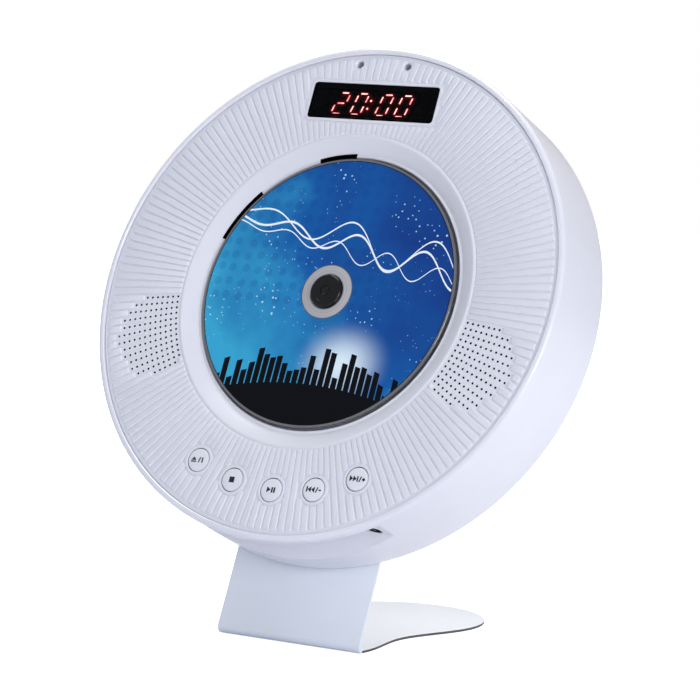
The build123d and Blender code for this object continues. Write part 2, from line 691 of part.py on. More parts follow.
MAT_T = 0.5
CLAW_SLOT = 2.6
with BuildPart() as turntable:
    with BuildSketch(RADIAL):
        with BuildLine():
            Polyline((SHAFT_R, -4.6), (SHAFT_R, -14), (4, -14), (4, -8.2), (13.6, -7.2),
                     (13.6, -disc_under - MAT_T), (9, -disc_under - MAT_T), (9, -disc_under),
                     (DISC_BORE_R - FIT, -disc_under), (DISC_BORE_R - FIT, -2.6),
                     (DISC_BORE_R - 0.9, -1.9), (3, -1.5), (0, -1.5), (0, -4.6), close=True)
        make_face()
    revolve(axis=AXLE)
    with BuildSketch(at(0)):
        with PolarLocations(DISC_BORE_R - 1.2, 3, start_angle=90):
            Rectangle(3.4, CLAW_SLOT)
    extrude(amount=-disc_under, mode=Mode.SUBTRACT)
turntable.part.label = "turntable"

with BuildPart() as turntable_mat:
    with BuildSketch(at(disc_under + MAT_T)):
        Circle(13.4)
        Circle(9.05, mode=Mode.SUBTRACT)
    extrude(amount=MAT_T)
turntable_mat.part.label = "turntable_mat"

with BuildPart() as chuck_claws:
    with BuildSketch(at(disc_under)):
        with PolarLocations(DISC_BORE_R - 1.5, 3, start_angle=90):
            Rectangle(2.6, CLAW_SLOT - 0.2)
    extrude(amount=2.0)
chuck_claws.part.label = "chuck_claws"

with BuildPart() as compact_disc:
    with BuildSketch(RADIAL):
        with BuildLine():
            Polyline((DISC_BORE_R, -disc_under), (17.5, -disc_under), (17.5, -disc_under - 0.2),
                     (18.3, -disc_under - 0.2), (18.3, -disc_under), (DISC_R, -disc_under),
                     (DISC_R, -DISC_TOP), (DISC_BORE_R, -DISC_TOP), close=True)
        make_face()
    revolve(axis=AXLE)
compact_disc.part.label = "compact_disc"

with BuildPart() as damper_grommets:
    for spot in damper_spots:
        with BuildSketch(radial_at(*spot)):
            with BuildLine():
                Polyline((2.0, -18.5), (4.6, -18.5), (4.6, -CHASSIS_FRONT), (3.4, -CHASSIS_FRONT),
                         (3.4, -CHASSIS_FRONT - CHASSIS_T), (4.6, -CHASSIS_FRONT - CHASSIS_T),
                         (4.6, -24.6), (2.0, -24.6), close=True)
            make_face()
        revolve(axis=axle_at(*spot))
damper_grommets.part.label = "damper_grommets"


def pan_screws(spots, seat, shank, shank_r, head_r, head_t):
    """Screws driven from behind: heads behind the seat depth, shanks in front of it."""
    with BuildPart() as screws:
        with BuildSketch(at(seat)):
            with Locations(*spots):
                Circle(head_r)
        extrude(amount=-head_t)
        with BuildSketch(at(seat)):
            with Locations(*spots):
                Circle(shank_r)
        extrude(amount=shank)
        with BuildSketch(at(seat + head_t)):
            with Locations(*spots):
                Rectangle(head_r * 1.1, head_r * 0.3)
                Rectangle(head_r * 0.3, head_r * 1.1)
        extrude(amount=head_t * 0.5, mode=Mode.SUBTRACT)
    return screws.part


damper_screws = pan_screws(damper_spots, 24.6, 8.5, 0.95, 4.0, 1.4)
damper_screws.label = "damper_screws"
deck_screws = pan_screws(deck_spots, 11.0, 6.2, 1.2, 2.4, 1.6)
deck_screws.label = "deck_screws"
housing_screws = pan_screws(post_spots, BOSS_FRONT + BOSS_FLOOR, 12.0, 1.45, 2.8, 2.2)
housing_screws.label = "housing_screws"
stand_screws = pan_screws(stand_screw_spots, DRUM_DEPTH + STAND_T, 9.5, 1.95, 4.0, 2.4)
stand_screws.label = "stand_screws"

# ---- Boards and sockets -------------------------------------------------------------------------
with BuildPart() as main_board:
    with BuildSketch(at(28.0)):
        with Locations((0, -46)):
            Rectangle(116, 36)
    extrude(amount=-1.6)
main_board.part.label = "main_board"

with BuildPart() as board_components:
    with BuildSketch(at(28.0)):
        with Locations((-10, -46)):
            Rectangle(14, 14)
        with Locations((14, -40)):
            Rectangle(9, 7)
        with Locations((34, -56)):
            Rectangle(12, 6)
    extrude(amount=1.6)
    with BuildSketch(at(28.0)):
        with Locations((-36, -40), (-36, -52), (40, -40)):
            Circle(3.2)
    extrude(amount=6)
board_components.part.label = "board_components"

JACK_BACK_Y = SCOOP_ROOF_Y + 2      # the jacks' bodies stand on the wall over the hollow
collar_length = 1.9


def jack_mouth(x):
    """Plane at a jack's body, with its collar on the far side."""
    return Plane(origin=DRUM.from_local_coords(Vector(x, JACK_BACK_Y, -JACK_DEPTH)),
                 x_dir=(1, 0, 0), z_dir=UP_FACE)


with BuildPart() as power_jack:
    with BuildSketch(at(JACK_BOARD_DEPTH)):
        with Locations((POWER_JACK_X, JACK_BACK_Y + 5.8)):
            Rectangle(9.4, 11.6)
    extrude(amount=9)
    with BuildSketch(jack_mouth(POWER_JACK_X)):
        Circle(POWER_COLLAR_R)
    extrude(amount=-collar_length)
    with BuildSketch(jack_mouth(POWER_JACK_X).offset(-collar_length)):
        Circle(2.9)
        Circle(1.0, mode=Mode.SUBTRACT)
    extrude(amount=10, mode=Mode.SUBTRACT)
power_jack.part.label = "power_jack"

with BuildPart() as audio_jack:
    with BuildSketch(at(JACK_BOARD_DEPTH)):
        with Locations((AUDIO_JACK_X, JACK_BACK_Y + 6)):
            Rectangle(8, 12)
    extrude(amount=8.6)
    with BuildSketch(jack_mouth(AUDIO_JACK_X)):
        Circle(AUDIO_COLLAR_R)
    extrude(amount=-collar_length)
    with BuildSketch(jack_mouth(AUDIO_JACK_X).offset(-collar_length)):
        Circle(1.8)
    extrude(amount=13, mode=Mode.SUBTRACT)
audio_jack.part.label = "audio_jack"

with BuildPart() as jack_board:
    with BuildSketch(at(JACK_BOARD_DEPTH)):
        with Locations(((POWER_JACK_X + AUDIO_JACK_X) / 2, JACK_BACK_Y + 7)):
            Rectangle(32, 12)
    extrude(amount=-1.6)
jack_board.part.label = "jack_board"

# ---- Speakers: frame, cone and magnet on each side ---------------------------------------------
speakers = []
for side, sign in (("left", -1), ("right", 1)):
    middle = clock(SPEAKER_PITCH_R, sign * GRILLE_ANGLE)
    with BuildPart() as speaker_frame:
        with BuildSketch(radial_at(*middle)):
            with BuildLine():
                Polyline((17.0, -PANEL_BACK), (SPEAKER_R, -PANEL_BACK), (SPEAKER_R, -4.2),
                         (17.8, -4.2), (10.5, -11.2), (10.5, -12.0), (5.0, -12.0), (5.0, -11.2),
                         (9.8, -11.2), (17.0, -4.2), close=True)
            make_face()
        revolve(axis=axle_at(*middle))
    speaker_frame.part.label = side + "_speaker_frame"
    with BuildPart() as speaker_cone:
        with BuildSketch(radial_at(*middle)):
            with BuildLine():
                Polyline((0, -6.4), (4.6, -7.4), (16.6, -3.4), (17.0, -3.4), (17.0, -3.8),
                         (4.9, -8.0), (4.9, -11.9), (4.4, -11.9), (4.4, -8.0), (0, -7.0), close=True)
            make_face()
        revolve(axis=axle_at(*middle))
    speaker_cone.part.label = side + "_speaker_cone"
    with BuildPart() as speaker_magnet:
        with BuildSketch(at(12.0)):
            with Locations(middle):
                Circle(9.5)
        extrude(amount=-7)
    speaker_magnet.part.label = side + "_speaker_magnet"
    speakers += [speaker_frame, speaker_cone, speaker_magnet]

# ---- Stand: one sheet, bent at the fold, with a waisted foot and a round end --------------------
fold_angle = 90 - LEAN
inner_run = STAND_T / tan(radians(fold_angle / 2))
riser_length = RISER_DROP + RISER_TOP_Y

with BuildPart() as stand_plate:
    with BuildSketch(Plane.YZ):
        with BuildLine():
            lean_y, lean_z = sin(radians(LEAN)), cos(radians(LEAN))
            top_y, top_z = FOLD_Y + riser_length * lean_y, riser_length * lean_z
            outer = FilletPolyline((FOLD_Y + 8, 0), (FOLD_Y, 0), (top_y, top_z),
                                   radius=FOLD_R + STAND_T)
            inner = FilletPolyline((FOLD_Y + 8, STAND_T), (FOLD_Y + inner_run, STAND_T),
                                   (top_y + STAND_T * lean_z, top_z - STAND_T * lean_y),
                                   radius=FOLD_R)
            Line(outer @ 0, inner @ 0)
            Line(outer @ 1, inner @ 1)
        make_face()
    extrude(amount=STAND_W / 2, both=True)
    riser_top = stand_plate.edges().filter_by(Axis((0, 0, 0), OUTWARD)).sort_by(Axis.Z)[-2:]
    fillet(riser_top, 12)
    with BuildSketch(Plane.XY):
        with BuildLine():
            half = STAND_W / 2
            widest_y = FOLD_Y + FOOT_LENGTH - 42
            flank = Spline((half, FOLD_Y + 8), (FOOT_WAIST, FOLD_Y + 44), (FOOT_WIDEST, widest_y),
                           tangents=[(-0.25, 1), (0, 1)])
            mirror(flank, about=Plane.YZ)
            EllipticalCenterArc((0, widest_y), FOOT_WIDEST, 42, 0, arc_size=180)
            Line((half, FOLD_Y + 8), (-half, FOLD_Y + 8))
        make_face()
    extrude(amount=STAND_T)
    with BuildSketch(at(DRUM_DEPTH)):
        with Locations(*stand_screw_spots):
            Circle(2.1)
    extrude(amount=-STAND_T, mode=Mode.SUBTRACT)
stand_plate.part.label = "stand_plate"

# ---- Write one file for each piece ----------------------------------------------------------------
built = [rear_housing, front_panel, display_window, led_display, ir_receiver, display_board,
         *buttons, button_board, tact_switches, deck_plate, traverse_chassis, guide_rods,
         pickup_sled, objective_lens, drive_gear, motor_pinion, sled_motor, spindle_motor,
         spindle_shaft, turntable, turntable_mat, chuck_claws, compact_disc, damper_grommets,
         main_board, board_components, power_jack, audio_jack, jack_board,
         *speakers, stand_plate]
for piece in built:
    export_step(piece.part, f"parts/{piece.part.label}.step")
for screws in (damper_screws, deck_screws, housing_screws, stand_screws):
    export_step(screws, f"parts/{screws.label}.step")
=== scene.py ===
import json
import math

import bmesh
import bpy
from mathutils import Matrix, Vector


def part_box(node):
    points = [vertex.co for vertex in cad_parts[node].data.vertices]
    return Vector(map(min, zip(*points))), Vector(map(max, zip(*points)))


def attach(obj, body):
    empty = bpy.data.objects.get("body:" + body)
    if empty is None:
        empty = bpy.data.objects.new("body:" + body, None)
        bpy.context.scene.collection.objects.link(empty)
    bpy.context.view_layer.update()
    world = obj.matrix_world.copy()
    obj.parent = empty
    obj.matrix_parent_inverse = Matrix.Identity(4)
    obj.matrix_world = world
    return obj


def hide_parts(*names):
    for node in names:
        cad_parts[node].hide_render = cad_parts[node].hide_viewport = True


bl_info = {
    "name": "Round disc player",
    "version": (1, 0, 0),
    "blender": (4, 5, 0),
    "location": "View3D > Sidebar > Disc player",
    "description": "Dresses the packed disc player with its shells, face, disc, display, stand and studio",
    "category": "Object",
}

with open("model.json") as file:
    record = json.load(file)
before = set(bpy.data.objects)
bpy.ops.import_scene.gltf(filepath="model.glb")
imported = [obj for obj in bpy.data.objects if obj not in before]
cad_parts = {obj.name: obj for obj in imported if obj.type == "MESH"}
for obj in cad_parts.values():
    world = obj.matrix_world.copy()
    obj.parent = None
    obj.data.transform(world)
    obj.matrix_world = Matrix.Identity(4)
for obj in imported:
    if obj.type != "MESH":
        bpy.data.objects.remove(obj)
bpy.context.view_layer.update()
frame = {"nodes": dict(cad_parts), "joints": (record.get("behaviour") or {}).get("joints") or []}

# ---- Frame of the round body, from the spindle's joint -------------------------------------------
# Drum frame in millimetres: x across, y up the face, z out of the face, 0 at the front of the rim.
SPINDLE = next(joint for joint in frame["joints"] if joint["name"] == "spindle_turn")
SPINDLE_DEPTH = 10.0
MM = 0.001
OUTWARD = Vector(SPINDLE["axis"])
ACROSS = Vector((1, 0, 0))
UP_FACE = OUTWARD.cross(ACROSS)
CENTRE = Vector(SPINDLE["pos_m"]) + OUTWARD * SPINDLE_DEPTH * MM
DRUM = Matrix.Translation(CENTRE) @ Matrix((ACROSS, UP_FACE, OUTWARD)).transposed().to_4x4()
DRUM_MM = DRUM @ Matrix.Scale(MM, 4)
WORLD_MM = Matrix.Scale(MM, 4)
LEAN = math.atan2(OUTWARD.z, -OUTWARD.y)

PANEL_FACE = -1.0           # the flat of the front panel
PANEL_BACK = -2.4
RIB_TOP = -0.4
DISC_TOP = -3.2
DISC_UNDER = -4.4
DRUM_BACK = -41.0


def clock(radius, angle):
    """Point on the face at an angle in degrees clockwise from the top."""
    return (radius * math.sin(math.radians(angle)), radius * math.cos(math.radians(angle)))


# ---- Sizes and colours a user would change -------------------------------------------------------
def length_mm(name, description, default):
    return bpy.props.FloatProperty(name=name, description=description, default=default * MM,
                                   min=0.0, unit="LENGTH", precision=5)


def colour(name, description, default):
    return bpy.props.StringProperty(name=name, description=description, default=default)


class ShellSettings(bpy.types.PropertyGroup):
    radius: length_mm("Drum radius", "Outer radius of the round body", 110.0)
    rim_round: length_mm("Rim rounding", "Radius of the rolled front edge", 1.8)
    back_round: length_mm("Back rounding", "Radius of the back edge", 3.0)
    plastic: colour("Shell colour", "sRGB colour of the moulded shell", "#E5E6ED")


class FaceSettings(bpy.types.PropertyGroup):
    rib_count: bpy.props.IntProperty(name="Ribs", description="Ribs in a full turn", default=180,
                                     min=12)
    rib_share: bpy.props.FloatProperty(name="Rib share", description="Part of each pitch that is rib",
                                       default=0.8, min=0.1, max=1.0, subtype="FACTOR")
    button_radius: length_mm("Button radius", "Radius of each button's cap", 5.0)
    plastic: colour("Face colour", "sRGB colour of the ribbed face", "#E2E3EA")
    ink: colour("Ink colour", "sRGB colour of the printed signs", "#15161A")


class DisplaySettings(bpy.types.PropertyGroup):
    digits: bpy.props.StringProperty(name="Digits", description="Four digits that are lit",
                                     default="2000", maxlen=4)
    digit_height: length_mm("Digit height", "Height of one digit", 9.6)
    glow: bpy.props.FloatProperty(name="Glow", description="Strength of the lit segments",
                                  default=30.0, min=0.0)
    lit: colour("Lit colour", "sRGB colour of a lit segment", "#FF3A1C")


class DiscSettings(bpy.types.PropertyGroup):
    print_radius: length_mm("Print radius", "Outer radius of the printed area", 59.05)
    hub_radius: length_mm("Clear hub radius", "Outer radius of the clear inner ring", 12.1)
    dark: colour("Dark blue", "sRGB colour of the print's far side", "#142E7C")
    mid: colour("Mid blue", "sRGB colour of most of the print", "#145CA6")
    light: colour("Light blue", "sRGB colour of the print's near side", "#3AABD4")


class StandSettings(bpy.types.PropertyGroup):
    thickness: length_mm("Sheet thickness", "Thickness of the bent sheet", 1.2)
    width: length_mm("Riser width", "Width of the riser and the fold", 70.0)
    foot_length: length_mm("Foot length", "From the fold to the end of the foot", 132.0)
    paint: colour("Paint", "sRGB colour of the paint", "#E8EEF5")


class StudioSettings(bpy.types.PropertyGroup):
    key_power: bpy.props.FloatProperty(name="Key lamp", description="Power of the key lamp",
                                       default=15.2, min=0.0, unit="POWER")
    top_power: bpy.props.FloatProperty(name="Top lamp", description="Power of the lamp above",
                                       default=10.5, min=0.0, unit="POWER")
    back_power: bpy.props.FloatProperty(name="Back lamp", description="Power of the lamp behind",
                                        default=20.0, min=0.0, unit="POWER")
    sky: bpy.props.FloatProperty(name="Sky", description="Strength of the even light", default=0.43,
                                 min=0.0)
    lens: bpy.props.FloatProperty(name="Lens", description="Focal length of the camera, in mm",
                                  default=169.707, min=1.0)


# ---- Colour and node helpers -----------------------------------------------------------------------
def srgb(text, alpha=1.0):
    """Linear colour of an sRGB hex value."""
    parts = [int(text[i:i + 2], 16) / 255 for i in (1, 3, 5)]
    return tuple(p / 12.92 if p <= 0.04045 else ((p + 0.055) / 1.055) ** 2.4 for p in parts) + (alpha,)


def add(tree, kind, settings=None, inputs=None):
    """Add one node, give it its settings, and set or link its inputs."""
    new = tree.nodes.new(kind)
    for key, value in (settings or {}).items():
        setattr(new, key, value)
    for key, value in (inputs or {}).items():
        if isinstance(value, bpy.types.NodeSocket):
            tree.links.new(value, new.inputs[key])
        else:
            new.inputs[key].default_value = value
    return new


def start(name):
    """An empty material with a shader, and Object coordinates to drive it."""
    material = bpy.data.materials.new(name)
    material.use_nodes = True
    tree = material.node_tree
    tree.nodes.clear()
    shader = add(tree, "ShaderNodeBsdfPrincipled")
    add(tree, "ShaderNodeOutputMaterial", inputs={"Surface": shader.outputs[0]})
    place = add(tree, "ShaderNodeTexCoord").outputs["Object"]
    return material, tree, shader, place


def ramp(tree, factor, stops, interpolation="LINEAR"):
    """Colour ramp through (position, linear colour) stops."""
    new = add(tree, "ShaderNodeValToRGB", inputs={0: factor})
    new.color_ramp.interpolation = interpolation
    new.color_ramp.elements[0].position, new.color_ramp.elements[0].color = stops[0]
    new.color_ramp.elements[1].position, new.color_ramp.elements[1].color = stops[-1]
    for position, value in stops[1:-1]:
        new.color_ramp.elements.new(position).color = value
    return new.outputs[0]


def grain(tree, shader, place, shades, patch_mm, grain_mm, height_mm, rough):
    """Broad patches of two near shades, and a fine grain that lifts the surface and its gloss."""
    patches = add(tree, "ShaderNodeTexNoise", inputs={"Vector": place, "Scale": 1000 / patch_mm,
                                                       "Detail": 3.0})
    fine = add(tree, "ShaderNodeTexNoise", inputs={"Vector": place, "Scale": 1000 / grain_mm,
                                                    "Detail": 4.0})
    tint = ramp(tree, patches.outputs[0], [(0.3, shades[0]), (0.7, shades[1])])
    tree.links.new(tint, shader.inputs["Base Color"])
    gloss = add(tree, "ShaderNodeMapRange", inputs={0: fine.outputs[0], 1: 0.3, 2: 0.7, 3: rough[0],
                                                     4: rough[1]})
    tree.links.new(gloss.outputs[0], shader.inputs["Roughness"])
    lift = add(tree, "ShaderNodeBump", inputs={"Strength": 1.0, "Distance": height_mm * MM,
                                                "Height": fine.outputs[0]})
    tree.links.new(lift.outputs[0], shader.inputs["Normal"])


def near(text, change):
    """A slightly lighter or darker linear colour."""
    red, green, blue, alpha = srgb(text)
    return (red * change, green * change, blue * change, alpha)


# name: (what it is, colour, patch mm, grain mm, bump mm, roughness low and high, other sockets)
FINISHES = {
    # moulded ABS polished like a lamp shade: even, with a faint orange peel
    "moulded_gloss_abs": ("#E5E6ED", 60, 2.2, 0.004, (0.20, 0.27), {"IOR": 1.53, "Coat Weight": 0.25,
                                                                  "Coat Roughness": 0.08}),
    # the face is the same ABS from a finely sparked mould: softer gloss
    "sparked_satin_abs": ("#E2E3EA", 50, 0.9, 0.006, (0.34, 0.42), {"IOR": 1.53}),
    # polyester powder paint on steel: slow waviness, soft sheen
    "powder_painted_steel": ("#E8EEF5", 45, 1.6, 0.006, (0.28, 0.36), {"IOR": 1.5}),
    # grey-white ABS of the deck, duller than the face
    "moulded_deck_abs": ("#C9CBD3", 30, 0.8, 0.008, (0.42, 0.52), {"IOR": 1.53}),
    # black ABS with a fine spark grain
    "sparked_black_abs": ("#17171A", 12, 0.5, 0.01, (0.38, 0.5), {"IOR": 1.53}),
    # black acetal: slick, almost no grain
    "black_acetal": ("#0E0E10", 9, 0.35, 0.004, (0.22, 0.3), {"IOR": 1.48,
                                                                "Specular IOR Level": 0.3}),
    # synthetic rubber: dull and faintly dusty
    "grommet_rubber": ("#1B1B1D", 6, 0.4, 0.02, (0.7, 0.85), {"IOR": 1.52}),
    # grey silicone mat under the disc
    "silicone_mat": ("#8C8E93", 6, 0.4, 0.01, (0.6, 0.72), {"IOR": 1.41}),
    # zinc plated steel: pale, bluish, slightly cloudy
    "zinc_plated_steel": ("#B9BCC0", 7, 0.5, 0.004, (0.26, 0.42), {"Metallic": 1.0}),
    # ground and polished steel rod
    "ground_steel": ("#C6C7C9", 5, 0.2, 0.002, (0.14, 0.24), {"Metallic": 1.0}),
    # drawn steel can of a small motor
    "drawn_steel_can": ("#A9ABAF", 8, 0.6, 0.003, (0.24, 0.36), {"Metallic": 1.0}),
    # painted shade: a dull brown grey on the foot's side edges, standing in for the shadow along the
    # sheet's edge
    "painted_shade_sheet_edge": ("#5F5B59", 9, 0.5, 0.01, (0.5, 0.65), {"Metallic": 0.4}),
    # natural nylon: warm white, waxy
    "natural_nylon": ("#E6E1D3", 6, 0.5, 0.006, (0.38, 0.5), {"IOR": 1.53,
                                                               "Subsurface Weight": 0.1}),
    # pressed paper cone: fibrous and dull
    "pressed_paper": ("#1C1B1B", 5, 0.25, 0.03, (0.8, 0.92), {"IOR": 1.45}),
    # sintered ferrite: dark grey, fine chips
    "sintered_ferrite": ("#2B2B2E", 6, 0.3, 0.02, (0.55, 0.7), {"IOR": 2.0}),
    # gloss black epoxy and PBT of chips and switches
    "moulded_epoxy": ("#202124", 5, 0.3, 0.008, (0.4, 0.55), {"IOR": 1.55}),
    # coated glass of the lens: blue violet bloom
    "coated_lens_glass": ("#4A3E86", 4, 1.0, 0.0, (0.04, 0.07), {"IOR": 1.52, "Coat Weight": 0.6,
                                                                  "Coat Roughness": 0.03}),
    # black matt plate of the display module; the same black also paints the shade on the walls of the
    # face's gaps, grille holes and well slots
    "black_reflector_and_gap_shade": ("#060607", 8, 0.5, 0.003, (0.4, 0.5), {"IOR": 1.5,
                                                                "Specular IOR Level": 0.15}),
    # clear polycarbonate edge with the metal layer dim behind it
    "polycarbonate_edge": ("#69696C", 10, 0.6, 0.0, (0.12, 0.18), {"IOR": 1.585}),
}


def finish(name, shade=None):
    """A material from the list of finishes, made once."""
    if name in bpy.data.materials:
        return bpy.data.materials[name]
    text, patch_mm, grain_mm, height_mm, rough, sockets = FINISHES[name]
    text = shade or text
    material, tree, shader, place = start(name)
    grain(tree, shader, place, (near(text, 0.97), near(text, 1.02)), patch_mm, grain_mm, height_mm,
          rough)
    for key, value in sockets.items():
        shader.inputs[key].default_value = value
    return material


# ---- Mesh helpers ------------------------------------------------------------------------------------
def chain(bm, points, closed=False):
    """A row of edges through the points."""
    verts = [bm.verts.new(point) for point in points]
    pairs = list(zip(verts, verts[1:])) + ([(verts[-1], verts[0])] if closed else [])
    return verts, [bm.edges.new(pair) for pair in pairs]


def turn(bm, profile, steps, middle=(0, 0), closed=True):
    """Turn a (radius, z) profile round the z axis through a point of the face."""
    verts, edges = chain(bm, [(middle[0] + r, middle[1], z) for r, z in profile], closed)
    made = bmesh.ops.spin(bm, geom=verts + edges, cent=(middle[0], middle[1], 0), axis=(0, 0, 1),
                          angle=2 * math.pi, steps=steps, use_merge=True, use_duplicate=False)
    return made


def arc(middle, radius, first, last, steps):
    """Points of an arc in a (radius, z) profile, angles in degrees."""
    return [(middle[0] + radius * math.cos(math.radians(first + (last - first) * i / steps)),
             middle[1] + radius * math.sin(math.radians(first + (last - first) * i / steps)))
            for i in range(steps + 1)]


def rounded_rectangle(width, height, corner, z, middle=(0, 0), steps=6):
    """Closed loop of points round a rectangle with rounded corners."""
    points = []
    for quarter, (sx, sy) in enumerate(((1, 1), (-1, 1), (-1, -1), (1, -1))):
        cx = middle[0] + sx * (width / 2 - corner)
        cy = middle[1] + sy * (height / 2 - corner)
        points += [(x, y, z) for x, y in arc((cx, cy), corner, quarter * 90, quarter * 90 + 90, steps)]
    return points


def block(bm, outline, z_low, z_high, index=0):
    """Straight prism between two depths on a closed outline of x, y points."""
    verts = [bm.verts.new((x, y, z_low)) for x, y in outline]
    face = bm.faces.new(verts)
    face.material_index = index
    made = bmesh.ops.extrude_face_region(bm, geom=[face])["geom"]
    bmesh.ops.translate(bm, verts=[v for v in made if isinstance(v, bmesh.types.BMVert)],
                        vec=(0, 0, z_high - z_low))


def seat(bm, name, materials, body, to=DRUM_MM, sharp=32):
    """Close up, place and shade a mesh, and let it ride on a body."""
    bmesh.ops.remove_doubles(bm, verts=bm.verts[:], dist=0.0004)
    bmesh.ops.recalc_face_normals(bm, faces=bm.faces[:])
    bmesh.ops.transform(bm, matrix=to, verts=bm.verts[:])
    mesh = bpy.data.meshes.new(name)
    bm.to_mesh(mesh)
    bm.free()
    return place_mesh(mesh, name, materials, body, sharp)


def place_mesh(mesh, name, materials, body, sharp=32):
    for polygon in mesh.polygons:
        polygon.use_smooth = True
    mesh.set_sharp_from_angle(angle=math.radians(sharp))
    for material in materials:
        mesh.materials.append(material)
    piece = bpy.data.objects.new(name, mesh)
    bpy.context.scene.collection.objects.link(piece)
    if body:
        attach(piece, body)
    return piece


def carve(bm, cutter, name):
    """The first mesh less the second, as a mesh in drum millimetres."""
    pieces = []
    for work, label in ((bm, name + "_blank"), (cutter, name + "_cutter")):
        bmesh.ops.remove_doubles(work, verts=work.verts[:], dist=0.0004)
        bmesh.ops.recalc_face_normals(work, faces=work.faces[:])
        mesh = bpy.data.meshes.new(label)
        work.to_mesh(mesh)
        work.free()
        piece = bpy.data.objects.new(label, mesh)
        bpy.context.scene.collection.objects.link(piece)
        pieces.append(piece)
    blank, tool = pieces
    cut = blank.modifiers.new("cut", "BOOLEAN")
    cut.operation = "DIFFERENCE"
    cut.solver = "EXACT"
    cut.use_self = False
    cut.object = tool
    bpy.context.view_layer.update()
    result = bpy.data.meshes.new_from_object(blank.evaluated_get(bpy.context.evaluated_depsgraph_get()))
    for piece in pieces:
        bpy.data.objects.remove(piece)
    carved = bmesh.new()
    carved.from_mesh(result)
    if not carved.faces:
        raise RuntimeError("nothing is left of " + name)
    bpy.data.meshes.remove(result)
    return carved


def dress(material, *nodes):
    """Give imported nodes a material."""
    for name in nodes:
        mesh = frame["nodes"][name].data
        mesh.materials.clear()
        mesh.materials.append(material)


# ---- Places on the face ------------------------------------------------------------------------------
BUTTONS = ("open", "stop", "play", "previous", "next")
BUTTON_SPOTS = [clock(88.3, 180 + step * 13.0) for step in (2, 1, 0, -1, -2)]
POST_SPOTS = [clock(101.0, angle) for angle in (32, 75, 140, 220, 285, 328)]
PEG_SPOTS = [(-11.7, 102.4), (11.7, 102.4)]
KEYHOLES = [(-45.0, 44.0), (45.0, 44.0)]
STAND_SCREWS = [(-20.0, -64.0), (20.0, -64.0)]
WINDOW = (61.7, 16.3, 1.5)
WINDOW_Y = 85.0
FRAME_W = 1.3
WELL_R = 60.8
COLLAR_R = 6.6
HOLLOW_HALF = 52.5
ROOF_Y = -96.6
JACKS = [(45.0, 3.6), (26.0, 3.0)]
WELL_SLOTS = ((-71.0, 24.0), (-19.5, 16.5))
GRILLE_ROWS = [(0, 6), (0, 8), (0, 9), (0, 10), (0, 10), (0, 11), (0, 11),
               (0, 10), (0, 10), (0, 9), (0, 9), (0, 8), (1, 5)]
GRILLE_FIRST = 71.6
GRILLE_STEP = 2.565
GRILLE_LINES = [(side * (109.0 + (line - 6) * 2.0) % 360, first, last)
                for line, (first, last) in enumerate(GRILLE_ROWS) for side in (1, -1)]


